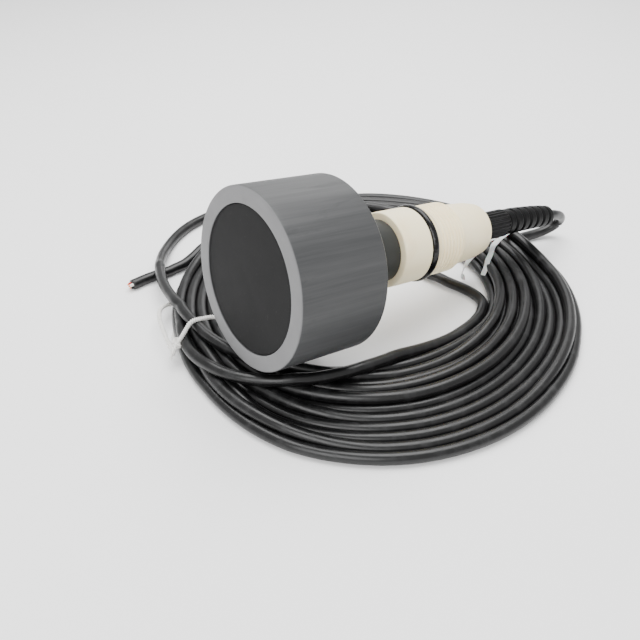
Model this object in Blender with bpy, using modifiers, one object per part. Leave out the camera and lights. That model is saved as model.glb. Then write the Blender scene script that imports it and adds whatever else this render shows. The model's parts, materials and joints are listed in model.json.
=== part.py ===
"""Long range ultrasonic distance sensor lying on its own coiled cable.

Frame: the origin is the centre of the sensing face, +Z is up, and +X is the level direction in which
the sensor looks.  The sensor's own axis tips back by AXIS_TILT, because the head rests on the coil.
Everything turned about that axis is drawn as (radius, depth) points, depth being the distance behind
the sensing face, and hangs on the empty "sensor_axis".
"""
import math

import bmesh
import bpy
from mathutils import Matrix, Vector

MM = 0.001                      # sizes below are millimetres
FIT = 0.3                       # clearance left between neighbouring solids
WELD = 0.00001

# ---- head ----
HEAD_RADIUS = 54.0
HEAD_LENGTH = 60.0
HEAD_BORE_RADIUS = 44.0
HEAD_BACK_WALL = 9.0
HEAD_REAR_CHAMFER = 1.2
RIM_CHAMFER = 0.5
RIM_PROUD = 0.8                 # the rim stands this far ahead of the radiating face
AXIS_TILT = 9.0                 # degrees, the sensing face looks up by this much

# ---- layers behind the sensing face ----
FACE_THICKNESS = 3.0
ISOLATION_WALL = 6.0
MATCHING_RADIUS = HEAD_BORE_RADIUS - ISOLATION_WALL
MATCHING_THICKNESS = 8.0
HEAD_MASS_THICKNESS = 9.4
RING_RADIUS = 25.0
RING_BORE_RADIUS = 8.0
RING_THICKNESS = 5.0
ELECTRODE_THICKNESS = 0.6
ELECTRODE_TAB = 3.2
TAIL_MASS_THICKNESS = 10.0
BOLT_RADIUS = 4.7
BOLT_HEAD_RADIUS = 8.0
BOLT_HEAD_HEIGHT = 5.5
BOLT_GRIP = 3.0                 # depth of the bolt's hole in the head mass
ISOLATION_LENGTH = 35.0
BACKING_BORE_RADIUS = RING_RADIUS + 5.0      # room for the wires beside the stack
THERMISTOR_RADIUS = 1.5
THERMISTOR_LENGTH = 7.0
WIRE_RADIUS = 0.8

# ---- grey stub between the head and the neck ----
STUB_RADIUS = 20.3
STUB_LENGTH = 40.5              # what shows between the head and the neck
STUB_BORE_RADIUS = 12.0
STUB_SEAT_DEPTH = 0.8           # shallow recess in the head's back that centres the stub
STUB_SEAT_MARGIN = 0.7
FRONT_SPIGOT_RADIUS = 15.0
REAR_SPIGOT_RADIUS = 16.0
REAR_SPIGOT_LENGTH = 11.5
SPIGOT_RING_SECTION = 0.75

# ---- ivory neck ----
COLLAR_RADIUS = 24.8
COLLAR_LENGTH = 23.5
GROOVE_RADIUS = 20.5
GROOVE_WIDTH = 6.9
THREAD_RADIUS = 24.0
THREAD_DEPTH = 1.5
THREAD_PITCH = 3.0
THREAD_TURNS = 8
TAIL_LENGTH = 33.7
TAIL_ROOT_RADIUS = 21.6
TAIL_END_RADIUS = 18.5
TAIL_ROUNDING = 2.5
NECK_BORE_RADIUS = 14.0
GLAND_BORE_LENGTH = 19.0
NECK_RING_SECTION = 2.6

# ---- electronics inside the neck ----
BOARD_LENGTH = 54.0
BOARD_THICKNESS = 1.6
TRANSFORMER_SIZE = (8.0, 11.0, 13.0)        # height above the board, across, along the axis
TRANSFORMER_PLACE = 11.0
TERMINALS_SIZE = (7.0, 12.0, 8.0)
TERMINALS_PLACE = 6.0
CHIP_SIZE = (1.8, 9.0, 12.0)
CAPACITOR_RADIUS = 3.5
CAPACITOR_LENGTH = 14.0
CAPACITOR_PLACE = 20.5
CORE_SPACING = 2.2
CORE_END_MARGIN = 1.5

# ---- cable gland ----
CABLE_DIAMETER = 7.8
GLAND_THREAD_RADIUS = 7.7
GLAND_BORE_RADIUS = GLAND_THREAD_RADIUS + FIT
GLAND_BODY_BORE = 5.6
GLAND_SEAL_LENGTH = 13.0
NUT_WALL = 2.2
NUT_RADIUS = GLAND_BORE_RADIUS + NUT_WALL
NUT_LENGTH = 31.0
NUT_KNURLS = 24
KNURL_DEPTH = 0.7
RELIEF_LENGTH = 55.0
RELIEF_ROOT_RADIUS = 9.6
RELIEF_TIP_RADIUS = 8.0
RELIEF_DROOP = 3.0              # the soft relief sags by this much over its length
RELIEF_RINGS = 5
RELIEF_GROOVE_DEPTH = 1.1
RELIEF_CREST_HEIGHT = 0.25
RELIEF_FIT = 0.5                # the relief's bore has few sides, so it is drawn a little wider

# ---- coil of spare cable ----
COIL_CENTRE = (-115.0, -22.0)
COIL_OUTER_RADIUS = 146.0
COIL_INNER_RADIUS = 70.0
COIL_HEIGHT = 22.6
HEAD_ABOVE_COIL = 2.1           # under the rim of the sensing face
TIE_RADIUS = 1.1
NOTCH_OVERRUN = 10.0            # the ties' notches are cut this far past the coil's sides
TIE_ANGLES = {"tie_left": -16.0, "tie_right": 171.0}

# Routes of the cable where it is not coiled, in millimetres.
LEAD_ROUTE = [(-273.1, 0.0, -46.3), (-284.0, -0.2, -48.9), (-294.0, -0.8, -51.9), (-302.5, -2.5, -57.2),
              (-306.0, -5.5, -64.0), (-302.5, -9.0, -70.5), (-294.0, -12.3, -73.8), (-284.0, -15.0, -74.1),
              (-273.0, -18.0, -74.1), (-262.2, -19.9, -74.1)]
LOOP_ROUTE = [(-199.2, -146.8, -74.1), (-174.9, -170.4, -73.5), (-140.0, -192.0, -71.4),
              (-104.0, -203.5, -69.2), (-76.0, -205.0, -67.8), (-50.8, -197.1, -66.8), (-30.9, -180.1, -66.2),
              (-16.0, -163.0, -65.9), (-4.6, -143.0, -65.7), (3.3, -124.1, -65.4), (8.2, -108.8, -65.3)]
TAIL_ROUTE = [(-26.7, -142.8, -74.1), (-15.0, -144.4, -74.1), (-3.0, -145.2, -74.1), (8.0, -145.0, -74.1),
              (18.0, -143.7, -74.1)]

# ---- stations along the axis, as depths behind the sensing face ----
HEAD_BACK = HEAD_LENGTH - RIM_PROUD
WALL_INSIDE = HEAD_BACK - HEAD_BACK_WALL
MATCHING_FRONT = FACE_THICKNESS + FIT
MATCHING_BACK = MATCHING_FRONT + MATCHING_THICKNESS
HEAD_MASS_FRONT = MATCHING_BACK + FIT
HEAD_MASS_BACK = HEAD_MASS_FRONT + HEAD_MASS_THICKNESS
FRONT_RING_FRONT = HEAD_MASS_BACK + FIT
FRONT_RING_BACK = FRONT_RING_FRONT + RING_THICKNESS
ELECTRODE_FRONT = FRONT_RING_BACK + FIT
ELECTRODE_BACK = ELECTRODE_FRONT + ELECTRODE_THICKNESS
REAR_RING_FRONT = ELECTRODE_BACK + FIT
REAR_RING_BACK = REAR_RING_FRONT + RING_THICKNESS
TAIL_MASS_FRONT = REAR_RING_BACK + FIT
TAIL_MASS_BACK = TAIL_MASS_FRONT + TAIL_MASS_THICKNESS
BOLT_HEAD_FRONT = TAIL_MASS_BACK + FIT
ISOLATION_BACK = MATCHING_FRONT + ISOLATION_LENGTH
STUB_FRONT = HEAD_BACK - STUB_SEAT_DEPTH + FIT
STUB_BACK = HEAD_BACK + FIT + STUB_LENGTH
SPIGOT_END = STUB_BACK + REAR_SPIGOT_LENGTH
NECK_FRONT = STUB_BACK + FIT
COLLAR_BACK = NECK_FRONT + COLLAR_LENGTH
THREAD_FRONT = COLLAR_BACK + GROOVE_WIDTH
THREAD_BACK = THREAD_FRONT + THREAD_TURNS * THREAD_PITCH + THREAD_PITCH / 2
NECK_BACK = THREAD_BACK + TAIL_LENGTH
NECK_SEAT_BACK = SPIGOT_END + FIT
GLAND_BORE_FRONT = NECK_BACK - GLAND_BORE_LENGTH
GLAND_FRONT = GLAND_BORE_FRONT + 4.0
NUT_FRONT = NECK_BACK + FIT
NUT_BACK = NUT_FRONT + NUT_LENGTH
NUT_END_WALL = 3.0
GLAND_BACK = NUT_BACK - NUT_END_WALL - 5.0 - FIT
RELIEF_FRONT = NUT_BACK + FIT
RELIEF_BACK = RELIEF_FRONT + RELIEF_LENGTH
BOARD_FRONT = NECK_SEAT_BACK + 1.0
BOARD_BACK = BOARD_FRONT + BOARD_LENGTH
CABLE_END = GLAND_BORE_FRONT + 6.0

# ---- heights that follow from the head resting on the coil ----
TILT = math.radians(AXIS_TILT)
COIL_TOP = -HEAD_RADIUS * math.cos(TILT) - HEAD_ABOVE_COIL
FLOOR = COIL_TOP - COIL_HEIGHT

PARTS = None                    # the collection that holds the sub-parts
CUTTERS = None                  # the collection that holds the shapes that cut them
AXIS = None                     # the empty on the sensor's axis


def start():
    """Empty the scene, make the two collections and the empty on the sensor's axis."""
    global PARTS, CUTTERS, AXIS
    for old in list(bpy.data.objects):
        bpy.data.objects.remove(old, do_unlink=True)
    PARTS = bpy.data.collections.new("ultrasonic_distance_sensor")
    CUTTERS = bpy.data.collections.new("cutters")
    bpy.context.scene.collection.children.link(PARTS)
    bpy.context.scene.collection.children.link(CUTTERS)
    AXIS = bpy.data.objects.new("sensor_axis", None)
    AXIS.rotation_euler = (0.0, math.pi / 2 - TILT, 0.0)
    PARTS.objects.link(AXIS)


def material(name, colour, roughness, metallic=0.0):
    """A Principled material; the colour is given as sRGB values from 0 to 255."""
    made = bpy.data.materials.get(name) or bpy.data.materials.new(name)
    made.use_nodes = True
    linear = []
    for value in colour:
        share = value / 255
        linear.append(share / 12.92 if share <= 0.04045 else ((share + 0.055) / 1.055) ** 2.4)
    shader = made.node_tree.nodes["Principled BSDF"]
    shader.inputs["Base Color"].default_value = (*linear, 1.0)
    shader.inputs["Roughness"].default_value = roughness
    shader.inputs["Metallic"].default_value = metallic
    return made


def adopt(made, finish, on_axis=True):
    """File an object with the parts, give it its material and hang it on the sensor's axis."""
    PARTS.objects.link(made)
    made.data.materials.append(finish)
    if on_axis:
        made.parent = AXIS
    return made


def as_cutter(made, on_axis=True):
    """File an object with the cutters, where the build leaves it out."""
    CUTTERS.objects.link(made)
    made.hide_render = True
    made.display_type = "WIRE"
    if on_axis:
        made.parent = AXIS
    return made


def cut(target, cutter, operation="DIFFERENCE"):
    """Cut one object with another by an exact Boolean."""
    boolean = target.modifiers.new(cutter.name, "BOOLEAN")
    boolean.operation = operation
    boolean.solver = "EXACT"
    boolean.object = cutter


def revolve(name, outline, steps, closed=True):
    """Turn (radius, depth) points about the local Z axis.

    The points run down the outer side, depth growing, and a closed outline comes back up the inner
    side.  An open outline starts and ends on the axis.
    """
    mesh = bpy.data.meshes.new(name)
    points = [(radius * MM, 0.0, -depth * MM) for radius, depth in outline]
    edges = [(i, i + 1) for i in range(len(points) - 1)]
    if closed:
        edges.append((len(points) - 1, 0))
    mesh.from_pydata(points, edges, [])
    made = bpy.data.objects.new(name, mesh)
    screw = made.modifiers.new("turn", "SCREW")
    screw.axis = "Z"
    screw.steps = steps
    screw.render_steps = steps
    screw.use_merge_vertices = True
    screw.merge_threshold = WELD
    screw.use_smooth_shade = True
    return made


def turned(name, outline, finish, steps=32, closed=True):
    """A turned sub-part on the sensor's axis."""
    return adopt(revolve(name, outline, steps, closed), finish)


def turned_cutter(name, outline, steps=32, closed=True):
    """A turned cutter on the sensor's axis."""
    return as_cutter(revolve(name, outline, steps, closed))


def bush(outer, inner, front, back):
    """Outline of a plain ring."""
    return [(outer, front), (outer, back), (inner, back), (inner, front)]


def rod(radius, front, back):
    """Outline of a plain disc or rod."""
    return [(0.0, front), (radius, front), (radius, back), (0.0, back)]


def circle_section(centre_radius, centre_depth, radius, points=12):
    """Outline of a ring with a round section."""
    turn = 2 * math.pi / points
    return [(centre_radius + radius * math.cos(i * turn), centre_depth + radius * math.sin(i * turn))
            for i in range(points)]


def box(name, size, centre):
    """A box on the sensor's axis; size and centre are (down, across, depth) in millimetres."""
    mesh = bpy.data.meshes.new(name)
    shape = bmesh.new()
    bmesh.ops.create_cube(shape, size=1.0)
    bmesh.ops.scale(shape, verts=shape.verts, vec=[value * MM for value in size])
    bmesh.ops.translate(shape, verts=shape.verts, vec=(centre[0] * MM, centre[1] * MM, -centre[2] * MM))
    shape.to_mesh(mesh)
    shape.free()
    return bpy.data.objects.new(name, mesh)


def smooth_route(route, spacing):
    """Points about `spacing` apart on a smooth curve through the route's own points."""
    knots = [Vector(point) for point in route]
    ends = [2 * knots[0] - knots[1]] + knots + [2 * knots[-1] - knots[-2]]
    points = [knots[0]]
    for i in range(1, len(ends) - 2):
        before, here, there, after = ends[i - 1:i + 3]
        span = (there - here).length
        pieces = max(1, round(span / spacing))
        lean_out = (there - before) * span / ((there - here).length + (here - before).length)
        lean_in = (after - here) * span / ((there - here).length + (after - there).length)
        for step in range(1, pieces + 1):
            t = step / pieces
            points.append((2 * t ** 3 - 3 * t ** 2 + 1) * here + (t ** 3 - 2 * t ** 2 + t) * lean_out
                          + (3 * t ** 2 - 2 * t ** 3) * there + (t ** 3 - t ** 2) * lean_in)
    return points


def tube_curve(name, points, radii, resolution, cyclic=False):
    """A tube object along points; radii holds one radius for each point, in millimetres."""
    curve = bpy.data.curves.new(name, "CURVE")
    curve.dimensions = "3D"
    curve.bevel_depth = MM
    curve.bevel_resolution = resolution
    curve.use_fill_caps = True
    curve.twist_mode = "MINIMUM"
    spline = curve.splines.new("POLY")
    spline.points.add(len(points) - 1)
    for place, point, radius in zip(spline.points, points, radii):
        place.co = (point[0] * MM, point[1] * MM, point[2] * MM, 1.0)
        place.radius = radius
    spline.use_cyclic_u = cyclic
    return bpy.data.objects.new(name, curve)


def tube(name, points, radius, finish, on_axis=False, resolution=2, cyclic=False):
    """A sub-part of one radius along points."""
    return adopt(tube_curve(name, points, [radius] * len(points), resolution, cyclic), finish, on_axis)


def curve_to_mesh(curve_object):
    """Replace a curve object by a mesh object of the same shape, with its caps welded on."""
    bpy.context.view_layer.update()
    seen = curve_object.evaluated_get(bpy.context.evaluated_depsgraph_get())
    mesh = bpy.data.meshes.new_from_object(seen)
    shape = bmesh.new()
    shape.from_mesh(mesh)
    bmesh.ops.remove_doubles(shape, verts=shape.verts, dist=WELD)
    shape.to_mesh(mesh)
    shape.free()
    name = curve_object.name
    place = curve_object.matrix_world.copy()
    bpy.data.objects.remove(curve_object, do_unlink=True)
    made = bpy.data.objects.new(name, mesh)
    made.matrix_world = place
    return made


# ---- head ----

def make_head_housing():
    """Cup turned from grey PVC: open in front, with a bored back wall."""
    outline = [(HEAD_RADIUS - RIM_CHAMFER, -RIM_PROUD), (HEAD_RADIUS, RIM_CHAMFER - RIM_PROUD),
               (HEAD_RADIUS, HEAD_BACK - HEAD_REAR_CHAMFER), (HEAD_RADIUS - HEAD_REAR_CHAMFER, HEAD_BACK),
               (STUB_RADIUS + STUB_SEAT_MARGIN, HEAD_BACK),
               (STUB_RADIUS + STUB_SEAT_MARGIN, HEAD_BACK - STUB_SEAT_DEPTH),
               (FRONT_SPIGOT_RADIUS + FIT, HEAD_BACK - STUB_SEAT_DEPTH),
               (FRONT_SPIGOT_RADIUS + FIT, WALL_INSIDE), (HEAD_BORE_RADIUS, WALL_INSIDE),
               (HEAD_BORE_RADIUS, -RIM_PROUD)]
    turned("head_housing", outline, material("grey_pvc", (118, 119, 118), 0.45), 48)


def make_radiating_face():
    """Dark disc bonded into the mouth of the cup: the surface that sends and hears the sound."""
    outline = rod(HEAD_BORE_RADIUS - FIT, 0.0, FACE_THICKNESS)
    turned("radiating_face", outline, material("dark_face", (69, 69, 71), 0.62), 48, closed=False)


def make_matching_layer():
    """Light filled resin that carries the sound from the metal to the face."""
    outline = rod(MATCHING_RADIUS, MATCHING_FRONT, MATCHING_BACK)
    turned("matching_layer", outline, material("matching_resin", (196, 178, 128), 0.7), 40, closed=False)


def make_head_mass():
    """Aluminium plate that spreads the rings' motion, with a blind hole for the bolt."""
    bolt_hole = BOLT_RADIUS + FIT
    hole_end = HEAD_MASS_BACK - BOLT_GRIP
    outline = [(0.0, HEAD_MASS_FRONT), (MATCHING_RADIUS - 0.5, HEAD_MASS_FRONT),
               (MATCHING_RADIUS - 0.5, HEAD_MASS_FRONT + 2.5), (RING_RADIUS, HEAD_MASS_BACK),
               (bolt_hole, HEAD_MASS_BACK), (bolt_hole, hole_end), (0.0, hole_end)]
    turned("head_mass", outline, material("aluminium", (190, 192, 195), 0.35, 1.0), 40, closed=False)


def make_piezo_rings():
    """Two ceramic rings with a contact plate between them."""
    ceramic = material("piezo_ceramic", (206, 196, 172), 0.5)
    front = bush(RING_RADIUS, RING_BORE_RADIUS, FRONT_RING_FRONT, FRONT_RING_BACK)
    rear = bush(RING_RADIUS, RING_BORE_RADIUS, REAR_RING_FRONT, REAR_RING_BACK)
    turned("piezo_ring_front", front, ceramic, 40)
    turned("piezo_ring_rear", rear, ceramic, 40)
    plate = bush(RING_RADIUS + ELECTRODE_TAB, RING_BORE_RADIUS, ELECTRODE_FRONT, ELECTRODE_BACK)
    turned("electrode_plate", plate, material("brass", (200, 168, 92), 0.3, 1.0), 40)


def make_tail_mass():
    """Steel disc behind the rings."""
    outline = bush(RING_RADIUS, BOLT_RADIUS + FIT, TAIL_MASS_FRONT, TAIL_MASS_BACK)
    turned("tail_mass", outline, material("steel", (150, 152, 156), 0.35, 1.0), 40)


def make_tension_bolt():
    """Hexagon bolt that squeezes the stack together."""
    shank_end = HEAD_MASS_BACK - BOLT_GRIP + FIT
    outline = [(0.0, shank_end), (BOLT_RADIUS, shank_end), (BOLT_RADIUS, BOLT_HEAD_FRONT + 1.0),
               (0.0, BOLT_HEAD_FRONT + 1.0)]
    bolt = turned("tension_bolt", outline, material("steel", (150, 152, 156), 0.35, 1.0), 24, closed=False)
    head = rod(BOLT_HEAD_RADIUS, BOLT_HEAD_FRONT, BOLT_HEAD_FRONT + BOLT_HEAD_HEIGHT)
    cut(bolt, as_cutter(revolve("bolt_head", head, 6, closed=False)), "UNION")


def make_isolation_ring():
    """Soft foam ring that keeps the stack's motion out of the housing, with the thermistor's pocket."""
    outline = bush(HEAD_BORE_RADIUS - FIT, MATCHING_RADIUS + FIT, MATCHING_FRONT, ISOLATION_BACK)
    ring = turned("isolation_ring", outline, material("foam_dark", (58, 58, 60), 0.95), 40)
    pocket_outline = rod(THERMISTOR_RADIUS + FIT, MATCHING_FRONT - 1.0, ISOLATION_BACK + 1.0)
    pocket = revolve("thermistor_pocket", pocket_outline, 12, closed=False)
    pocket.location = (-thermistor_radius_from_axis() * MM, 0.0, 0.0)
    cut(ring, as_cutter(pocket))


def thermistor_radius_from_axis():
    """The thermistor stands in the middle of the foam ring's wall."""
    return (HEAD_BORE_RADIUS + MATCHING_RADIUS) / 2


def make_thermistor():
    """Glass bead that reads the air temperature through the face, so that the range can be corrected."""
    outline = rod(THERMISTOR_RADIUS, MATCHING_FRONT, MATCHING_FRONT + THERMISTOR_LENGTH)
    bead = turned("thermistor", outline, material("thermistor_epoxy", (38, 36, 34), 0.4), 12, closed=False)
    bead.location = (-thermistor_radius_from_axis() * MM, 0.0, 0.0)


def make_backing_ring():
    """Heavier damping ring in the back of the cup."""
    outline = bush(HEAD_BORE_RADIUS - FIT, BACKING_BORE_RADIUS, ISOLATION_BACK + FIT, WALL_INSIDE - FIT)
    turned("backing_ring", outline, material("backing_rubber", (44, 44, 46), 0.85), 40)


def make_head_wires():
    """Wires from the electrode plate and the tail mass through the stub to the circuit board.

    Their routes are (across, depth) points; the thermistor's own wire stays in its pocket.
    """
    lane = STUB_BORE_RADIUS - 2.5
    edge = RING_RADIUS + 2 * WIRE_RADIUS
    into_stub = [(lane + 4.0, WALL_INSIDE - 1.8), (lane + 1.1, WALL_INSIDE - 0.6),
                 (lane + 0.1, WALL_INSIDE + 1.3), (lane, WALL_INSIDE + 6.0), (lane, STUB_FRONT + 10.0),
                 (lane, STUB_BACK - 6.0),
                 (lane, BOARD_FRONT - 1.0)]
    signal = [(edge, ELECTRODE_BACK + FIT), (edge + 0.4, REAR_RING_BACK), (edge + 0.4, TAIL_MASS_BACK),
              (edge - 3.0, WALL_INSIDE - 3.6)] + into_stub
    contact = RING_RADIUS - 7.0
    back_contact = [(contact, TAIL_MASS_BACK + FIT), (contact - 0.1, TAIL_MASS_BACK + 2.0),
                    (contact - 2.5, WALL_INSIDE - 2.6)] + into_stub
    for name, route, side, colour in (("wire_signal", signal, 1, (170, 34, 30)),
                                      ("wire_return", back_contact, -1, (30, 30, 32))):
        points = [(0.0, side * across, -depth) for across, depth in route]
        finish = material(name + "_jacket", colour, 0.5)
        tube(name, smooth_route(points, 6.0), WIRE_RADIUS, finish, on_axis=True)
    bead = thermistor_radius_from_axis()
    points = [(-bead, 0.0, -MATCHING_FRONT - THERMISTOR_LENGTH - FIT), (-bead, 0.0, -ISOLATION_BACK + 2.0)]
    tube("wire_thermistor", smooth_route(points, 6.0), WIRE_RADIUS,
         material("wire_thermistor_jacket", (220, 214, 200), 0.5), on_axis=True)


# ---- stub, neck and electronics ----

def make_rear_stub():
    """Dark grey pipe stub, bonded into the head's back wall and into the neck."""
    groove_centre = (STUB_BACK + SPIGOT_END) / 2
    groove_root = REAR_SPIGOT_RADIUS - 2 * SPIGOT_RING_SECTION - FIT
    half_groove = SPIGOT_RING_SECTION + FIT
    outline = [(FRONT_SPIGOT_RADIUS, WALL_INSIDE + FIT), (FRONT_SPIGOT_RADIUS, STUB_FRONT),
               (STUB_RADIUS, STUB_FRONT), (STUB_RADIUS, STUB_BACK), (REAR_SPIGOT_RADIUS, STUB_BACK),
               (REAR_SPIGOT_RADIUS, groove_centre - half_groove), (groove_root, groove_centre - half_groove),
               (groove_root, groove_centre + half_groove), (REAR_SPIGOT_RADIUS, groove_centre + half_groove),
               (REAR_SPIGOT_RADIUS, SPIGOT_END), (STUB_BORE_RADIUS, SPIGOT_END),
               (STUB_BORE_RADIUS, WALL_INSIDE + FIT)]
    turned("rear_stub", outline, material("dark_pvc", (90, 91, 86), 0.5), 32)
    ring = circle_section(REAR_SPIGOT_RADIUS - SPIGOT_RING_SECTION, groove_centre, SPIGOT_RING_SECTION, 8)
    turned("spigot_o_ring", ring, material("black_rubber", (24, 24, 24), 0.35), 32)


def thread_outline():
    """Ridges of the neck's thread, one for each turn."""
    root = THREAD_RADIUS - THREAD_DEPTH
    points = []
    for turn in range(THREAD_TURNS):
        start_of_turn = THREAD_FRONT + turn * THREAD_PITCH
        points.append((root, start_of_turn))
        points.append((THREAD_RADIUS, start_of_turn + THREAD_PITCH * 0.35))
        points.append((THREAD_RADIUS, start_of_turn + THREAD_PITCH * 0.65))
    points.append((root, THREAD_BACK - THREAD_PITCH / 2))
    return points


def make_neck():
    """Ivory neck: smooth collar, O-ring groove, thread and slightly tapered tail, bored through."""
    tail_mid = THREAD_BACK + TAIL_LENGTH * 0.7
    tail_mid_radius = TAIL_END_RADIUS + (TAIL_ROOT_RADIUS - TAIL_END_RADIUS) * 0.5
    outline = [(COLLAR_RADIUS - 0.6, NECK_FRONT), (COLLAR_RADIUS, NECK_FRONT + 0.6),
               (COLLAR_RADIUS, COLLAR_BACK), (GROOVE_RADIUS, COLLAR_BACK), (GROOVE_RADIUS, THREAD_FRONT)]
    outline += thread_outline()
    outline += [(THREAD_RADIUS - 0.8, THREAD_BACK - THREAD_PITCH / 2), (THREAD_RADIUS - 0.8, THREAD_BACK),
                (TAIL_ROOT_RADIUS, THREAD_BACK), (tail_mid_radius, tail_mid),
                (TAIL_END_RADIUS, NECK_BACK - TAIL_ROUNDING),
                (TAIL_END_RADIUS - TAIL_ROUNDING * 0.3, NECK_BACK - TAIL_ROUNDING * 0.3),
                (TAIL_END_RADIUS - TAIL_ROUNDING, NECK_BACK), (GLAND_BORE_RADIUS, NECK_BACK),
                (GLAND_BORE_RADIUS, GLAND_BORE_FRONT), (NECK_BORE_RADIUS, GLAND_BORE_FRONT),
                (NECK_BORE_RADIUS, NECK_SEAT_BACK), (REAR_SPIGOT_RADIUS + FIT, NECK_SEAT_BACK),
                (REAR_SPIGOT_RADIUS + FIT, NECK_FRONT)]
    turned("threaded_neck", outline, material("ivory_plastic", (230, 226, 210), 0.4), 40)


def make_neck_o_ring():
    """Glossy seal against the collar's shoulder, pressed on by the panel or flange."""
    centre_radius = GROOVE_RADIUS + FIT + NECK_RING_SECTION
    centre_depth = COLLAR_BACK + FIT + NECK_RING_SECTION + 0.6
    outline = circle_section(centre_radius, centre_depth, NECK_RING_SECTION, 12)
    turned("neck_o_ring", outline, material("black_rubber", (24, 24, 24), 0.35), 40)


def make_on_board(name, size, across_middle, depth_middle, finish, side=-1):
    """A box-shaped component; size is (height, across, depth), side -1 is the board's upper face."""
    face = BOARD_THICKNESS / 2 + FIT
    adopt(box(name, size, (side * (face + size[0] / 2), across_middle, depth_middle)), finish)


def make_electronics():
    """Circuit board in the neck's bore with the parts that stand on it."""
    half_width = math.sqrt((NECK_BORE_RADIUS - FIT) ** 2 - (BOARD_THICKNESS / 2) ** 2)
    middle = (BOARD_FRONT + BOARD_BACK) / 2
    board = box("circuit_board", (BOARD_THICKNESS, 2 * half_width, BOARD_LENGTH), (0, 0, middle))
    adopt(board, material("board_green", (28, 84, 48), 0.45))
    make_on_board("transformer", TRANSFORMER_SIZE, 0.0, BOARD_FRONT + TRANSFORMER_PLACE,
                  material("transformer_tape", (196, 166, 60), 0.5))
    make_on_board("terminal_block", TERMINALS_SIZE, 0.0, BOARD_BACK - TERMINALS_PLACE,
                  material("terminal_green", (40, 120, 70), 0.5))
    make_on_board("signal_chip", CHIP_SIZE, 0.0, middle, material("chip_epoxy", (28, 28, 30), 0.5), side=1)
    front = BOARD_FRONT + CAPACITOR_PLACE
    capacitor = revolve("capacitor", rod(CAPACITOR_RADIUS, front, front + CAPACITOR_LENGTH), 20, closed=False)
    capacitor.location = (-(BOARD_THICKNESS / 2 + FIT + CAPACITOR_RADIUS) * MM, 0.0, 0.0)
    adopt(capacitor, material("capacitor_sleeve", (34, 46, 84), 0.4))


def make_cable_cores():
    """Three cores from the end of the cable's jacket to the middle of the terminals' front."""
    start_depth = CABLE_END - FIT
    end_depth = BOARD_BACK - CORE_END_MARGIN
    end_down = -(BOARD_THICKNESS + TERMINALS_SIZE[0]) / 2 - FIT
    half_way = (start_depth + end_depth) / 2
    for name, across, colour in (("core_red", CORE_SPACING, (168, 36, 32)),
                                 ("core_white", 0.0, (222, 220, 212)),
                                 ("core_black", -CORE_SPACING, (34, 34, 36))):
        points = [(0.0, across, -start_depth), (-0.3, across, -start_depth + 3.0),
                  (end_down / 2, 1.3 * across, -half_way), (end_down, 1.7 * across, -end_depth - 3.0),
                  (end_down, 1.7 * across, -end_depth)]
        finish = material(name + "_jacket", colour, 0.5)
        tube(name, smooth_route(points, 4.0), WIRE_RADIUS, finish, on_axis=True)


# ---- gland and bend relief ----

def make_gland():
    """Compression gland: threaded body, rubber seal and clamping ring under the knurled nut."""
    black = material("gland_nylon", (37, 37, 37), 0.5)
    body = bush(GLAND_THREAD_RADIUS, GLAND_BODY_BORE, GLAND_FRONT, GLAND_BACK)
    turned("gland_body", body, black, 28)
    seal = bush(GLAND_BODY_BORE - FIT, CABLE_DIAMETER / 2 + FIT, GLAND_BACK - GLAND_SEAL_LENGTH, GLAND_BACK)
    turned("gland_seal", seal, material("seal_rubber", (52, 52, 54), 0.7), 28)
    clamp_back = NUT_BACK - NUT_END_WALL - FIT
    clamp = bush(GLAND_THREAD_RADIUS, CABLE_DIAMETER / 2 + FIT, GLAND_BACK + FIT, clamp_back)
    turned("gland_clamp", clamp, material("clamp_nylon", (200, 198, 190), 0.5), 28)


def make_gland_nut():
    """Long nut with lengthwise knurls; every other column of its outer points is set in."""
    steps = NUT_KNURLS * 2
    bore = GLAND_THREAD_RADIUS + FIT
    outline = [(NUT_RADIUS - 1.0, NUT_FRONT), (NUT_RADIUS, NUT_FRONT + 1.2), (NUT_RADIUS, NUT_BACK - 1.2),
               (NUT_RADIUS - 1.0, NUT_BACK), (CABLE_DIAMETER / 2 + FIT, NUT_BACK),
               (CABLE_DIAMETER / 2 + FIT, NUT_BACK - NUT_END_WALL), (bore, NUT_BACK - NUT_END_WALL),
               (bore, NUT_FRONT)]
    plain = revolve("gland_nut_blank", outline, steps)
    CUTTERS.objects.link(plain)
    bpy.context.view_layer.update()
    mesh = bpy.data.meshes.new_from_object(plain.evaluated_get(bpy.context.evaluated_depsgraph_get()))
    bpy.data.objects.remove(plain, do_unlink=True)
    for vertex in mesh.vertices:
        radius = math.hypot(vertex.co.x, vertex.co.y)
        column = round(math.atan2(vertex.co.y, vertex.co.x) * steps / (2 * math.pi))
        if radius > (NUT_RADIUS - 0.5) * MM and column % 2:
            vertex.co.xy *= (radius - KNURL_DEPTH * MM) / radius
    adopt(bpy.data.objects.new("gland_nut", mesh), material("gland_nylon", (37, 37, 37), 0.5))


def relief_point(depth):
    """Centre of the sagging relief at a depth, in the axis's own frame."""
    past = depth - RELIEF_FRONT
    return (RELIEF_DROOP * (past / RELIEF_LENGTH) ** 2, 0.0, -depth)


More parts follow.
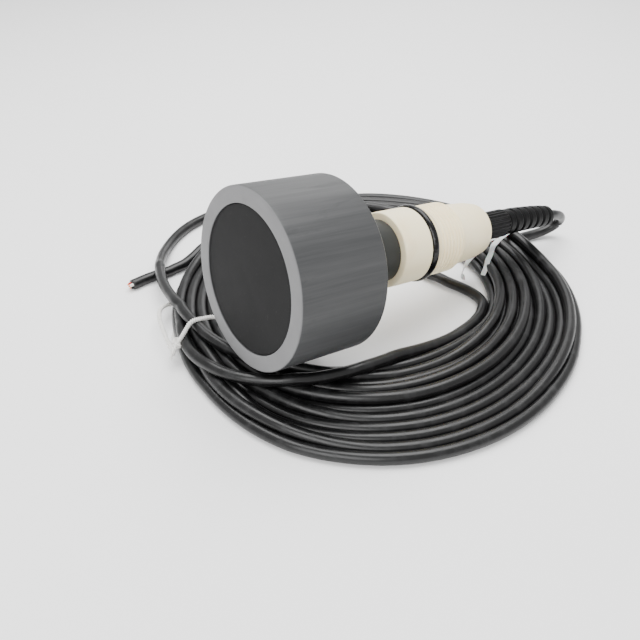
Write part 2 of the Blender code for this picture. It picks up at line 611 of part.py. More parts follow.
def make_bend_relief():
    """Soft ringed sleeve that sags a little: five fat rings on a tapering sleeve, bored for the cable."""
    plain = 0.12 * RELIEF_LENGTH
    pitch = (RELIEF_LENGTH - 2 * plain) / RELIEF_RINGS
    marks = [(0.0, 0.0), (0.7 * plain, 0.0)]
    for ring in range(RELIEF_RINGS):
        here = plain + ring * pitch
        marks += [(here + 0.08 * pitch, -RELIEF_GROOVE_DEPTH), (here + 0.3 * pitch, RELIEF_CREST_HEIGHT),
                  (here + 0.78 * pitch, RELIEF_CREST_HEIGHT)]
    last = RELIEF_LENGTH - plain
    marks += [(last + 0.6, -RELIEF_GROOVE_DEPTH), (last + 2.6, 0.0), (RELIEF_LENGTH - 0.8, -0.2),
              (RELIEF_LENGTH, -0.9)]
    points = [relief_point(RELIEF_FRONT + along) for along, _ in marks]
    radii = [RELIEF_ROOT_RADIUS + (RELIEF_TIP_RADIUS - RELIEF_ROOT_RADIUS) * along / RELIEF_LENGTH + step
             for along, step in marks]
    sleeve = curve_to_mesh(tube_with_parent("bend_relief", points, radii, 8))
    PARTS.objects.link(sleeve)
    sleeve.data.materials.append(material("relief_rubber", (30, 30, 31), 0.5))
    stations = [-2.0] + [RELIEF_LENGTH * i / 10 for i in range(11)] + [RELIEF_LENGTH + 2.0]
    path = [relief_point(RELIEF_FRONT + along) for along in stations]
    bore = [CABLE_DIAMETER / 2 + RELIEF_FIT] * len(path)
    cutter = curve_to_mesh(tube_with_parent("relief_bore", path, bore, 4))
    as_cutter(cutter, on_axis=False)
    cut(sleeve, cutter)


def tube_with_parent(name, points, radii, resolution):
    """A tube on the sensor's axis, linked so that its matrix is worked out."""
    made = tube_curve(name, points, radii, resolution)
    made.parent = AXIS
    CUTTERS.objects.link(made)
    return made


def make_cable_in_gland():
    """The cable inside the gland and the relief, up to the relief's end."""
    straight = [(0.0, 0.0, -(CABLE_END + (RELIEF_FRONT - CABLE_END) * i / 2)) for i in range(2)]
    sagging = [relief_point(RELIEF_FRONT + RELIEF_LENGTH * i / 8) for i in range(9)]
    jacket = material("cable_jacket", (36, 36, 37), 0.5)
    tube("cable_in_gland", straight + sagging, CABLE_DIAMETER / 2, jacket, on_axis=True)


# ---- spare cable ----

def make_cable_routes():
    """The lead that leaves the relief, the loop that strays from the coil and the cable's bare end."""
    jacket = material("cable_jacket", (36, 36, 37), 0.5)
    routes = {"cable_lead": LEAD_ROUTE, "cable_outer_loop": LOOP_ROUTE, "cable_tail": TAIL_ROUTE}
    for name, route in routes.items():
        tube(name, smooth_route(route, 2 * CABLE_DIAMETER), CABLE_DIAMETER / 2, jacket)


def coil_section():
    """Outer shape of the coil's turns as (radius, height) points, low where the head's back hangs."""
    top_outer = COIL_OUTER_RADIUS - 8.0
    top_inner = COIL_INNER_RADIUS + 45.0
    step = COIL_INNER_RADIUS + 12.0
    return [(COIL_OUTER_RADIUS, FLOOR), (COIL_OUTER_RADIUS, FLOOR + 0.72 * COIL_HEIGHT), (top_outer, COIL_TOP),
            (top_inner, COIL_TOP), (step, FLOOR + 0.66 * COIL_HEIGHT),
            (COIL_INNER_RADIUS, FLOOR + 0.45 * COIL_HEIGHT), (COIL_INNER_RADIUS, FLOOR)]


def make_cable_coil():
    """One turned ring for all the turns, notched underneath where the ties pass."""
    ring = revolve("cable_coil", [(radius, -height) for radius, height in reversed(coil_section())], 64)
    adopt(ring, material("cable_jacket", (36, 36, 37), 0.5), on_axis=False)
    ring.location = (COIL_CENTRE[0] * MM, COIL_CENTRE[1] * MM, 0.0)
    notch_height = 2 * (TIE_RADIUS + FIT) + FIT
    notch_width = 2 * (TIE_RADIUS + 2 * FIT)
    for name, angle in TIE_ANGLES.items():
        size = (COIL_OUTER_RADIUS - COIL_INNER_RADIUS + 2 * NOTCH_OVERRUN, notch_width, 2 * notch_height)
        notch = box(name + "_notch", size, (0.0, 0.0, 0.0))
        middle = (COIL_OUTER_RADIUS + COIL_INNER_RADIUS) / 2
        turn = Matrix.Rotation(math.radians(angle), 4, "Z")
        shift = Matrix.Translation((COIL_CENTRE[0] * MM, COIL_CENTRE[1] * MM, FLOOR * MM))
        notch.matrix_world = shift @ turn @ Matrix.Translation((middle * MM, 0.0, 0.0))
        cut(ring, as_cutter(notch, on_axis=False))


def tie_route():
    """Route of a tie as (radius, height) points: the coil's section set out by the tie's own radius.

    Each corner of the section gives an arc of three points, between the normals of its two edges.
    """
    gap = TIE_RADIUS + FIT
    lift = 2 * TIE_RADIUS + 2 * FIT
    corners = [Vector((radius, max(height, FLOOR + lift))) for radius, height in coil_section()]
    route = []
    for i, corner in enumerate(corners):
        arriving = (corner - corners[i - 1]).normalized()
        leaving = (corners[(i + 1) % len(corners)] - corner).normalized()
        before = Vector((arriving.y, -arriving.x))
        after = Vector((leaving.y, -leaving.x))
        for normal in (before, (before + after).normalized(), after):
            route.append(corner + gap * normal)
    return route


def make_ties():
    """Two ties around the coil, each in its notch underneath."""
    finish = material("twine", (206, 206, 204), 0.9)
    for name, angle in TIE_ANGLES.items():
        heading = math.radians(angle)
        out = (math.cos(heading), math.sin(heading))
        points = [(COIL_CENTRE[0] + radius * out[0], COIL_CENTRE[1] + radius * out[1], height)
                  for radius, height in tie_route()]
        tube(name, points, TIE_RADIUS, finish, cyclic=True)


def make_all():
    """Build every sub-part."""
    start()
    make_head_housing()
    make_radiating_face()
    make_matching_layer()
    make_head_mass()
    make_piezo_rings()
    make_tail_mass()
    make_tension_bolt()
    make_isolation_ring()
    make_thermistor()
    make_backing_ring()
    make_head_wires()
    make_rear_stub()
    make_neck()
    make_neck_o_ring()
    make_electronics()
    make_cable_cores()
    make_gland()
    make_gland_nut()
    make_bend_relief()
    make_cable_in_gland()
    make_cable_routes()
    make_cable_coil()
    make_ties()


make_all()
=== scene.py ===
# %% [markdown]
# Ultrasonic distance sensor on its own coil of cable.
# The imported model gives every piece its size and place.  This lesson gives the pieces their looks:
# the surfaces are worked out as whole arrays with numpy, and the finishes are shader maths written
# as Python expressions.  First comes the fixed frame, which is never moved.

# %% Load the frame and keep its box
import json

import bmesh
import bpy
import numpy as np
from mathutils import Matrix, Vector


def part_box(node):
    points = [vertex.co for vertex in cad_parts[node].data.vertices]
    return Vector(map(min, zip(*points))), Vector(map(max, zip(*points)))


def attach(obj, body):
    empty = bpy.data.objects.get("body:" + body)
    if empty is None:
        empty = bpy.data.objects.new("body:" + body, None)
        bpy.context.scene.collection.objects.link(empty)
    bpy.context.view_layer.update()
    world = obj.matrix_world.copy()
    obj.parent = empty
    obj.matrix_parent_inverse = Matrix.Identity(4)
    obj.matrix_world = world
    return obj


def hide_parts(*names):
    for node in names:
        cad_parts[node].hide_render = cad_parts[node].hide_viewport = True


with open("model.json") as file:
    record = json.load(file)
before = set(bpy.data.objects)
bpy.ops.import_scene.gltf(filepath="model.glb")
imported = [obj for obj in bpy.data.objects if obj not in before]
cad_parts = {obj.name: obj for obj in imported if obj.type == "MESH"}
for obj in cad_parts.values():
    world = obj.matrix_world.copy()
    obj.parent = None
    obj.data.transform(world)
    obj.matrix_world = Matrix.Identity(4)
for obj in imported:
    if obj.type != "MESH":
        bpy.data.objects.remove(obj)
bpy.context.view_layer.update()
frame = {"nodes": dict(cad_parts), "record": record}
MM = 0.001
nodes = frame["nodes"]
print("frame holds", len(nodes), "nodes")

# %% [markdown]
# The head, the neck and the gland are all turned about one axis, which tips back a little because the
# head lies on the coil.  A point of a turned piece is therefore (radius, angle, depth), depth being the
# distance behind the sensing face.  The record's first mount gives the axis, and a node's own vertices
# give its depths and its radius, so no place is guessed twice.

# %% The sensor's axis
AXIS = np.array(frame["record"]["mounts"][0]["axis"], float)
AXIS /= np.linalg.norm(AXIS)
ACROSS = np.array([0.0, 1.0, 0.0])
ABOVE = np.cross(AXIS, ACROSS)


def place(radius, angle, depth):
    """Point at a radius and an angle about the axis, a depth behind the sensing face; takes arrays."""
    radius, angle, depth = np.broadcast_arrays(radius, angle, depth)
    out = np.cos(angle)[..., None] * ABOVE + np.sin(angle)[..., None] * ACROSS
    return radius[..., None] * out - depth[..., None] * AXIS


def extent(node):
    """Front depth, back depth and outer radius of a turned node, in metres."""
    flat = np.zeros(3 * len(nodes[node].data.vertices))
    nodes[node].data.vertices.foreach_get("co", flat)
    points = flat.reshape(-1, 3)
    depth = -points @ AXIS
    radius = np.linalg.norm(points + depth[:, None] * AXIS, axis=1)
    return depth.min(), depth.max(), radius.max()


RIM_DEPTH, HEAD_BACK, HEAD_RADIUS = extent("head_housing")
FACE_RADIUS = extent("radiating_face")[2]
STUB_FRONT, STUB_BACK, STUB_RADIUS = extent("rear_stub")
NECK_FRONT, NECK_BACK, COLLAR_RADIUS = extent("threaded_neck")
NUT_FRONT, NUT_BACK, NUT_RADIUS = extent("gland_nut")
FIT = 0.3 * MM
RELIEF_FRONT = NUT_BACK + FIT
print(f"head {2 * HEAD_RADIUS:.4f} m across, neck ends at {NECK_BACK:.4f} m")

# %% [markdown]
# The camera stands in front of the sensor and to its side, and looks down at 37 degrees.

# %% Camera
CAMERA_PLACE = Vector((0.1626, 0.2908, 0.2212))
CAMERA_RIGHT = Vector((-0.80596, 0.59196, 0.0)).normalized()
CAMERA_LOOK = Vector((-0.47276, -0.64367, -0.60182)).normalized()
camera_up = CAMERA_RIGHT.cross(CAMERA_LOOK).normalized()
camera = bpy.data.objects.new("camera", bpy.data.cameras.new("camera"))
camera.data.lens = 39.375
camera.data.sensor_width = 36.0
turn = Matrix((CAMERA_RIGHT, camera_up, -CAMERA_LOOK)).transposed()
camera.matrix_world = Matrix.Translation(CAMERA_PLACE) @ turn.to_4x4()
bpy.context.scene.collection.objects.link(camera)
bpy.context.scene.camera = camera
print("camera looks down by", round(np.degrees(np.arcsin(-CAMERA_LOOK.z)), 1), "degrees")

# %% [markdown]
# The cable is one length of about ten metres: it sags out of the bend relief, turns back under it, runs
# into the coil, and after fourteen turns its cut end sticks out at the far side.  Nobody places every
# turn of a coil by hand.  The turns are first laid out roughly by a rule, each in its own lane, six on
# the floor and the rest above them.  The lanes lie close together where the coil is tied and spread
# apart between the ties.  A short relaxation then lets the cable settle under its own weight.

# %% The cable's facts
CABLE = 7.8 * MM
coil_low, coil_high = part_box("cable_coil")
FLOOR = coil_low.z
COIL_CENTRE = np.array([(coil_low.x + coil_high.x) / 2, (coil_low.y + coil_high.y) / 2])
LAID = FLOOR + CABLE / 2
LEAD_ROUTE = [(-0.2731, 0.0, -0.0463), (-0.284, -0.0002, -0.0489), (-0.294, -0.0008, -0.0519),
              (-0.3025, -0.0025, -0.0572), (-0.306, -0.0055, -0.064), (-0.3025, -0.009, -0.0705),
              (-0.294, -0.0123, -0.0738), (-0.284, -0.015, -0.0741), (-0.273, -0.018, -0.0741),
              (-0.2622, -0.0199, -0.0741)]
ENTRY_ROUTE = [(-0.251, -0.0222, -0.0741), (-0.2435, -0.0262, -0.0741), (-0.2388, -0.0335, -0.0741),
               (-0.2368, -0.042, -0.0741)]
LOOP_ROUTE = [(-0.1992, -0.1468, -0.0741), (-0.1749, -0.1704, -0.0735), (-0.14, -0.192, -0.0714),
              (-0.104, -0.2035, -0.0692), (-0.076, -0.205, -0.0678), (-0.0508, -0.1971, -0.0668),
              (-0.0309, -0.1801, -0.0662), (-0.016, -0.163, -0.0659), (-0.0046, -0.143, -0.0657),
              (0.0033, -0.1241, -0.0654), (0.0082, -0.1088, -0.0653)]
TAIL_ROUTE = [(-0.0267, -0.1428, -0.0741), (-0.015, -0.1444, -0.0741), (-0.003, -0.1452, -0.0741),
              (0.008, -0.145, -0.0741), (0.018, -0.1437, -0.0741)]
TIE_ANGLES = {"tie_left": -16.0, "tie_right": 171.0}

# %% The turns, lane by lane
# How wide the winding lies at each angle about the coil's centre: (degrees, inner edge, outer edge) in mm.
WINDING_WIDTH = np.array([(-40, 98, 141), (-16, 100, 140), (4, 97, 143), (22, 90, 149.5), (33, 84, 152.5),
                          (56, 69.6, 152.5), (79, 69, 148), (102, 71, 143), (125, 76, 141.5), (145, 81, 144),
                          (160, 86, 146.5), (172, 90, 145), (185, 97, 145), (210, 103, 151.5),
                          (236, 104, 152.5), (270, 100, 143), (300, 98, 141)], float)
LANES_BELOW = [135.0, 127.0, 115.0, 103.0, 91.0, 79.0]
LANES_ABOVE = [96.8, 108.2, 120.9, 141.5, 148.7, 153.0]
LIFT_ABOVE = [6.6, 6.6, 6.6, 8.1, 5.6, 0.6]
# The two turns laid last go over the others under the head: (degrees, radius, height over the floor) in mm.
LAST_TURNS = np.array([(330, 146.5, 13), (338, 142.5, 15.5), (345, 138.5, 15.5), (354, 131, 14),
                       (4, 124, 13.5), (14, 115, 13), (26, 103, 11), (40, 92, 8), (60, 83.9, 5.6),
                       (85, 82, 5), (115, 84, 5),
                       (140, 90, 5), (160, 98, 7), (180, 106, 12), (205, 114, 14.6), (230, 120, 14.6),
                       (255, 124, 14.6), (280, 126, 14.6), (305, 131, 11), (325, 138, 7.5), (338, 142, 7.2),
                       (350, 145.5, 8.5), (359, 146, 11.5), (8.3, 138.5, 14.5), (18, 128, 15.3),
                       (28, 115, 14.5), (40, 97, 12), (52, 79.5, 8), (66, 69, 5.6), (93, 66, 5),
                       (116, 72, 5), (130, 78, 4.5), (140, 82, 3), (148, 79, 1.5), (156, 68, 0), (166, 57, 0),
                       (182, 49, 0), (198, 51, 0), (214, 61, 3), (228, 76, 13), (242, 95, 20),
                       (256, 112, 21.6), (270, 128, 21), (282, 141, 15), (294, 149.5, 3.6)], float)


def round_coil(degrees, radius, lift):
    """Points on the coil: a radius from its centre at each angle, lifted above a cable on the floor."""
    angle = np.radians(degrees)
    flat = COIL_CENTRE + radius[:, None] * np.stack([np.cos(angle), np.sin(angle)], 1)
    return np.column_stack([flat, LAID + lift])


def about_coil(points):
    """Angle in degrees and distance of points about the coil's centre."""
    flat = points[:, :2] - COIL_CENTRE
    return np.degrees(np.arctan2(flat[:, 1], flat[:, 0])) % 360, np.linalg.norm(flat, axis=1)


def lay_turns():
    """Twelve turns as lanes: the lane number grows by one a turn, with a smooth shift under the head."""
    lanes = np.array(LANES_BELOW + LANES_ABOVE)
    lifts = np.array([0.0] * len(LANES_BELOW) + LIFT_ABOVE)
    shift_at, shift_half = 285.0, 40.0
    degrees = np.arange(196.0, 236.0 + 360.0 * (len(lanes) - 1), 4.0)[2:-2]
    turns = (degrees - shift_at) / 360.0
    past = (turns - np.round(turns)) * 360.0 / shift_half
    shifting = np.round(turns) + 0.5 + 0.75 * past - 0.25 * past ** 3
    lane = np.where(np.abs(past) < 1, shifting, np.floor(turns) + 1)
    lane = np.clip(lane, 0, len(lanes) - 1)
    share = (np.interp(lane, np.arange(len(lanes)), lanes) - 69.6) / (153.0 - 69.6)
    inner = np.interp(degrees % 360, WINDING_WIDTH[:, 0], WINDING_WIDTH[:, 1], period=360)
    outer = np.interp(degrees % 360, WINDING_WIDTH[:, 0], WINDING_WIDTH[:, 2], period=360)
    radius = inner + share * (outer - inner)
    over_entry = 8.0 * np.exp(-((degrees % 360 - 184.0) / 10.0) ** 2) * (radius > 118) * (degrees > 300)
    lift = np.interp(lane, np.arange(len(lanes)), lifts) + over_entry
    return round_coil(degrees, radius * MM, lift * MM)


def through(knots, spacing):
    """Points about `spacing` apart on a smooth curve through the knots: between two knots a cubic leaves and
    arrives along the line from the knot before to the knot after."""
    knots = np.asarray(knots, float)
    ends = np.vstack([2 * knots[0] - knots[1], knots, 2 * knots[-1] - knots[-2]])
    before, here, there, after = ends[:-3], ends[1:-2], ends[2:-1], ends[3:]
    gap = np.linalg.norm(np.diff(ends, axis=0), axis=1)[:, None]
    leave = (there - before) * gap[1:-1] / (gap[1:-1] + gap[:-2])
    arrive = (after - here) * gap[1:-1] / (gap[1:-1] + gap[2:])
    t = np.linspace(0, 1, 24, endpoint=False)[None, :, None]
    rows = ((2 * t ** 3 - 3 * t ** 2 + 1) * here[:, None] + (t ** 3 - 2 * t ** 2 + t) * leave[:, None]
            + (3 * t ** 2 - 2 * t ** 3) * there[:, None] + (t ** 3 - t ** 2) * arrive[:, None])
    dense = np.vstack([rows.reshape(-1, 3), knots[-1]])
    along = np.r_[0, np.cumsum(np.linalg.norm(np.diff(dense, axis=0), axis=1))]
    stops = np.linspace(0, along[-1], int(round(along[-1] / spacing)) + 1)
    return np.stack([np.interp(stops, along, dense[:, axis]) for axis in range(3)], 1)


last_turns = round_coil(LAST_TURNS[:, 0], LAST_TURNS[:, 1] * MM, LAST_TURNS[:, 2] * MM)
SIM_STEP = 4.6 * MM
whole_route = np.vstack([LEAD_ROUTE, ENTRY_ROUTE, lay_turns(), LOOP_ROUTE, last_turns, TAIL_ROUTE])
rough = through(whole_route, SIM_STEP)
print("cable laid out roughly,", len(rough), "points")

# %% [markdown]
# The relaxation moves every point of the cable many times by small rules: gravity pulls down, the floor
# and the sensor push out, two stretches closer than a diameter push each other apart, the spacing along
# the cable is kept, and the cable's stiffness evens out its bends.  The ties keep the winding from
# spreading: no point goes further out than it was laid, and the higher it lies, the further in it stays.
# Stiffness works on three scales at once, or a short kink would need thousands of rounds to spread.  It
# is not a full simulation: the lead and the cut end don't move, and where the lead lands beside the coil
# two strands still overlap by about 3 mm.

# %% Let the cable settle
SENSOR_PROFILE = np.array([(RIM_DEPTH - 0.1 * MM, 0), (RIM_DEPTH, HEAD_RADIUS), (HEAD_BACK, HEAD_RADIUS),
                           (HEAD_BACK + 0.1 * MM, STUB_RADIUS), (NECK_FRONT - 0.1 * MM, STUB_RADIUS),
                           (NECK_FRONT, COLLAR_RADIUS), (0.157, COLLAR_RADIUS), (0.158, 0.0216),
                           (NECK_BACK, 0.0186), (NUT_FRONT, NUT_RADIUS), (0.2765, 0.0084), (0.2768, 0)])


def close_pairs(points, reach, skip):
    """Pairs of points nearer than reach, more than skip apart along the cable, as two index arrays."""
    cells = np.floor(points[:, :2] / reach).astype(np.int64)
    cells -= cells.min(0) - 1
    width = cells[:, 1].max() + 3
    key = cells[:, 0] * width + cells[:, 1]
    order = np.argsort(key, kind="stable")
    ranked = key[order]
    firsts, seconds = [], []
    for step in (0, 1, width - 1, width, width + 1):
        begin = np.searchsorted(ranked, key + step, "left")
        count = np.searchsorted(ranked, key + step, "right") - begin
        first = np.repeat(np.arange(len(points)), count)
        offset = np.arange(count.sum()) - np.repeat(np.cumsum(count) - count, count)
        second = order[np.repeat(begin, count) + offset]
        keep = np.abs(first - second) > skip
        if step == 0:
            keep &= first < second
        first, second = first[keep], second[keep]
        near = ((points[first] - points[second]) ** 2).sum(1) < reach ** 2
        firsts.append(first[near])
        seconds.append(second[near])
    return np.concatenate(firsts), np.concatenate(seconds)


def tie_lift(points):
    """How far the floor lies higher under the ties, whose strings pass beneath the cable."""
    flat = points[:, :2] - COIL_CENTRE
    lift = np.zeros(len(points))
    for degrees in TIE_ANGLES.values():
        way = np.array([np.cos(np.radians(degrees)), np.sin(np.radians(degrees))])
        off = flat @ np.array([-way[1], way[0]])
        lift += 1.9 * MM * np.exp(-(off / (11 * MM)) ** 2) * (flat @ way > 0)
    return lift


LEAD_POINTS, END_POINTS = 34, 5     # points at the two ends of the cable that don't move
SAG = 0.05 * MM                     # how far the weight pulls a point down in one round


def settle(points, rounds):
    """Relax the cable's points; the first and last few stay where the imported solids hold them."""
    start = points.copy()
    for _ in range(14):
        start[3:36] += 0.5 * ((start[2:35] + start[4:37]) / 2 - start[3:36])
    points = start.copy()
    count = len(points)
    free = np.ones((count, 1))
    free[:LEAD_POINTS] = 0
    free[-END_POINTS:] = 0
    spacing = np.linalg.norm(np.diff(points, axis=0), axis=1)
    hold = np.full((count, 1), 0.004)
    hold[-14:] = 0.05
    angle, reach = about_coil(start)
    corner = (np.arange(count) > 0.85 * count) & (np.abs(angle - 146) < 22) & (reach < 90 * MM)
    hold[corner] = 0.12
    edge = np.interp(angle, WINDING_WIDTH[:, 0], WINDING_WIDTH[:, 2], period=360) * MM
    edge = np.where(reach > edge + 3 * MM, reach + 2 * MM, edge)
    for step in range(rounds):
        if step % 12 == 0:
            one, two = close_pairs(points, 1.6 * CABLE, 4)
        points = points + free * (hold * np.array([1, 1, 0.15]) * (start - points) - [0, 0, SAG])
        for stride in (1, 2, 4):
            bend = (points[:-4 * stride] - 4 * points[stride:-3 * stride] + 6 * points[2 * stride:-2 * stride]
                    - 4 * points[3 * stride:-stride] + points[4 * stride:])
            points[2 * stride:-2 * stride] -= free[2 * stride:-2 * stride] * bend / 32
        apart = points[one] - points[two]
        gap = np.maximum(np.linalg.norm(apart, axis=1), 1e-6)
        push = apart / gap[:, None] * np.maximum(CABLE - gap, 0)[:, None] * 0.65
        touching = np.bincount(one, gap < CABLE, count) + np.bincount(two, gap < CABLE, count)
        for axis in range(3):
            moved = np.bincount(one, push[:, axis], count) - np.bincount(two, push[:, axis], count)
            points[:, axis] += free[:, 0] * moved / np.maximum(touching, 1)
        for parity in (0, 1):
            here = np.arange(parity, count - 1, 2)
            span = points[here + 1] - points[here]
            length = np.linalg.norm(span, axis=1)
            pull = span * ((length - spacing[here]) / length)[:, None]
            shared = np.maximum(free[here] + free[here + 1], 1)
            points[here] += pull * free[here] / shared
            points[here + 1] -= pull * free[here + 1] / shared
        depth = -points @ AXIS
        out = points + depth[:, None] * AXIS
        radius = np.linalg.norm(out, axis=1)
        need = np.interp(depth, SENSOR_PROFILE[:, 0], SENSOR_PROFILE[:, 1], left=0, right=0)
        inside = (need > 0) & (radius < need + CABLE / 2) & (free[:, 0] > 0)
        points[inside] += (out / radius[:, None] * (need + CABLE / 2 - radius)[:, None] * 0.5)[inside]
        reach = about_coil(points)[1]
        past = np.maximum(reach - edge + 0.3 * np.maximum(points[:, 2] - LAID, 0), 0) * free[:, 0]
        points[:, :2] -= 0.4 * (past / reach)[:, None] * (points[:, :2] - COIL_CENTRE)
        points[:, 2] = np.maximum(points[:, 2], LAID + free[:, 0] * tie_lift(points))
    return points


settled = settle(rough, 500)
one, two = close_pairs(settled, CABLE, 5)
gaps = np.linalg.norm(settled[one] - settled[two], axis=1)
print(f"settled: {(gaps < 0.9 * CABLE).sum()} pairs closer than 0.9 diameters, nearest {gaps.min():.4f} m")

# %% [markdown]
# Every surface below is a grid of points: one direction of the grid goes along or around the piece, the
# other follows its section.  One function turns such a grid into a mesh by whole arrays, with a UV map
# that has the piece's real lengths in metres, so that a texture has the same grain everywhere.

# %% Grids into meshes
def grid_mesh(name, points, around=True, section=True, measures=None, attributes=None):
    """Mesh of quads on an (n, m) grid; a wrapped direction joins its last row to its first.  Faces are turned
    outwards by the sign of the volume they enclose.  measures are the UV values along both directions."""
    rows, columns = points.shape[:2]
    i = np.arange(rows if around else rows - 1)[:, None]
    j = np.arange(columns if section else columns - 1)[None, :]
    corners = [(i, j), (i + 1, j), (i + 1, j + 1), (i, j + 1)]
    index = np.stack([np.broadcast_to(a % rows * columns + b % columns, (i.size, j.size))
                      for a, b in corners], -1)
    index = index.reshape(-1, 4)
    flat = points.reshape(-1, 3)
    quad = flat[index] - flat.mean(0)
    volume = np.einsum("ij,ij->i", quad[:, 0], np.cross(quad[:, 1], quad[:, 2])).sum()
    volume += np.einsum("ij,ij->i", quad[:, 0], np.cross(quad[:, 2], quad[:, 3])).sum()
    if volume < 0:
        index = index[:, ::-1]
        corners = corners[::-1]
    mesh = bpy.data.meshes.new(name)
    mesh.vertices.add(len(flat))
    mesh.vertices.foreach_set("co", flat.astype(np.float32).ravel())
    mesh.loops.add(index.size)
    mesh.loops.foreach_set("vertex_index", index.astype(np.int32).ravel())
    mesh.polygons.add(len(index))
    mesh.polygons.foreach_set("loop_start", np.arange(0, index.size, 4, dtype=np.int32))
    mesh.update(calc_edges=True)
    if measures is not None:
        along, over = measures
        pairs = [(np.broadcast_to(along[a], (i.size, j.size)), np.broadcast_to(over[b], (i.size, j.size)))
                 for a, b in corners]
        uv = np.stack([np.stack(pair, -1) for pair in pairs], -2)
        mesh.uv_layers.new(name="UVMap").data.foreach_set("uv", uv.astype(np.float32).ravel())
    for label, values in (attributes or {}).items():
        layer = mesh.attributes.new(label, "FLOAT", "POINT")
        layer.data.foreach_set("value", values.astype(np.float32).ravel())
    mesh.validate()
    return mesh


def show(name, mesh, finish, sharp=0.55, weld=False):
    """Object for a mesh, in the scene, riding on the only body; welded where a pole or a seam has doubles."""
    if weld:
        shape = bmesh.new()
        shape.from_mesh(mesh)
        bmesh.ops.remove_doubles(shape, verts=shape.verts, dist=1e-6)
        shape.to_mesh(mesh)
        shape.free()
    mesh.shade_smooth()
    mesh.set_sharp_from_angle(angle=sharp)
    made = bpy.data.objects.new(name, mesh)
    bpy.context.scene.collection.objects.link(made)
    mesh.materials.append(finish)
    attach(made, "root")
    return made


def sweep(path, radius, sides):
    """Tube along a path: each point's ring lies across the path.  The ring is set out from one fixed
    direction that the cable never runs along, so the rings don't twist.  Returns rings of points."""
    ahead = np.gradient(path, axis=0)
    ahead /= np.linalg.norm(ahead, axis=1)[:, None]
    side = np.cross(ahead, np.array([0.0, 0.5, 0.87]))
    side /= np.linalg.norm(side, axis=1)[:, None]
    top = np.cross(side, ahead)
    angle = np.linspace(0, 2 * np.pi, sides, endpoint=False)
    reach = np.broadcast_to(np.asarray(radius, float).reshape(-1, 1), (len(path), 1))[..., None]
    return (path[:, None] + reach * (np.cos(angle)[None, :, None] * side[:, None]
                                     + np.sin(angle)[None, :, None] * top[:, None]))


def with_caps(rings):
    """Rings closed at both ends: each end gets a slightly smaller ring and then its middle point."""
    def end(first, second):
        middle = first.mean(0)
        outward = middle - second.mean(0)
        outward /= np.linalg.norm(outward)
        radius = np.linalg.norm(first[0] - middle)
        small = middle + (first - middle) * 0.93 + outward * radius * 0.07
        return np.stack([np.broadcast_to(small.mean(0), first.shape), small])
    front = end(rings[0], rings[1])
    back = end(rings[-1], rings[-2])[::-1]
    return np.concatenate([front, rings, back])


# %% [markdown]
# Finishes are written as maths.  `Signal` wraps one output socket and overloads Python's operators, so
# `1 - mask * 0.4` adds two Math nodes.  `Finish` makes a material and has one method, `add`, for every
# other node: its type, its settings, then the values or links of its sockets.

# %% Shader maths
class Signal:
    """A value that changes over a surface: an output socket with Python's operators."""

    def __init__(self, finish, socket):
        self.finish = finish
        self.socket = socket

    def math(self, operation, first, second):
        return self.finish.add("ShaderNodeMath", {"operation": operation}, {0: first, 1: second})

    def __add__(self, other):
        return self.math("ADD", self, other)

    def __radd__(self, other):
        return self.math("ADD", other, self)

    def __sub__(self, other):
        return self.math("SUBTRACT", self, other)

    def __rsub__(self, other):
        return self.math("SUBTRACT", other, self)

    def __mul__(self, other):
        return self.math("MULTIPLY", self, other)

    def __rmul__(self, other):
        return self.math("MULTIPLY", other, self)


class Finish:
    """A material under construction."""

    def __init__(self, name, **constants):
        self.material = bpy.data.materials.new(name)
        self.material.use_nodes = True
        self.tree = self.material.node_tree
        self.shader = self.tree.nodes["Principled BSDF"]
        for socket, value in constants.items():
            self.shader.inputs[socket.replace("_", " ")].default_value = value

    def add(self, kind, settings, inputs, output=0):
        """Any node: settings are set first, `stops` being a ramp's (position, grey) pairs."""
        node = self.tree.nodes.new(kind)
        for key, value in settings.items():
            if key == "stops":
                ramp = node.color_ramp
                while len(ramp.elements) < len(value):
                    ramp.elements.new(0.5)
                for element, (position, grey) in zip(ramp.elements, value):
                    element.position = position
                    element.color = (grey, grey, grey, 1)
            else:
                setattr(node, key, value)
        for key, value in inputs.items():
            self.put(node.inputs[key], value)
        return Signal(self, node.outputs[output])

    def put(self, socket, value):
        if isinstance(value, Signal):
            self.tree.links.new(value.socket, socket)
        else:
            socket.default_value = value

    def object_space(self, rotation=(0, 0, 0), scale=(1, 1, 1)):
        """Object coordinates, turned and then stretched by a Mapping node."""
        where = self.add("ShaderNodeTexCoord", {}, {}, "Object")
        turned = self.add("ShaderNodeMapping", {}, {"Vector": where, "Rotation": rotation})
        return self.add("ShaderNodeMapping", {}, {"Vector": turned, "Scale": scale})

    def uv_space(self, scale=(1, 1, 1)):
        where = self.add("ShaderNodeUVMap", {"uv_map": "UVMap"}, {})
        return self.add("ShaderNodeMapping", {}, {"Vector": where, "Scale": scale})

    def noise(self, where, scale, detail=3.0, roughness=0.5, distortion=0.0):
        return self.add("ShaderNodeTexNoise", {}, {"Vector": where, "Scale": scale, "Detail": detail,
                                                   "Roughness": roughness, "Distortion": distortion})

    def ramp(self, value, *stops):
        return self.add("ShaderNodeValToRGB", {"stops": stops}, {"Fac": value})

    def blend(self, mask, first, second):
        """Colour that goes from first to second as the mask goes from 0 to 1."""
        return self.add("ShaderNodeMix", {"data_type": "RGBA"}, {0: mask, 6: first, 7: second}, 2)

    def set(self, **signals):
        for socket, value in signals.items():
            self.put(self.shader.inputs[socket.replace("_", " ")], value)

    def bump(self, height, distance, strength=1.0):
        """Height in shares of distance, which is in metres."""
        inputs = {"Height": height, "Distance": distance, "Strength": strength}
        normal = self.add("ShaderNodeBump", {}, inputs)
        self.put(self.shader.inputs["Normal"], normal)


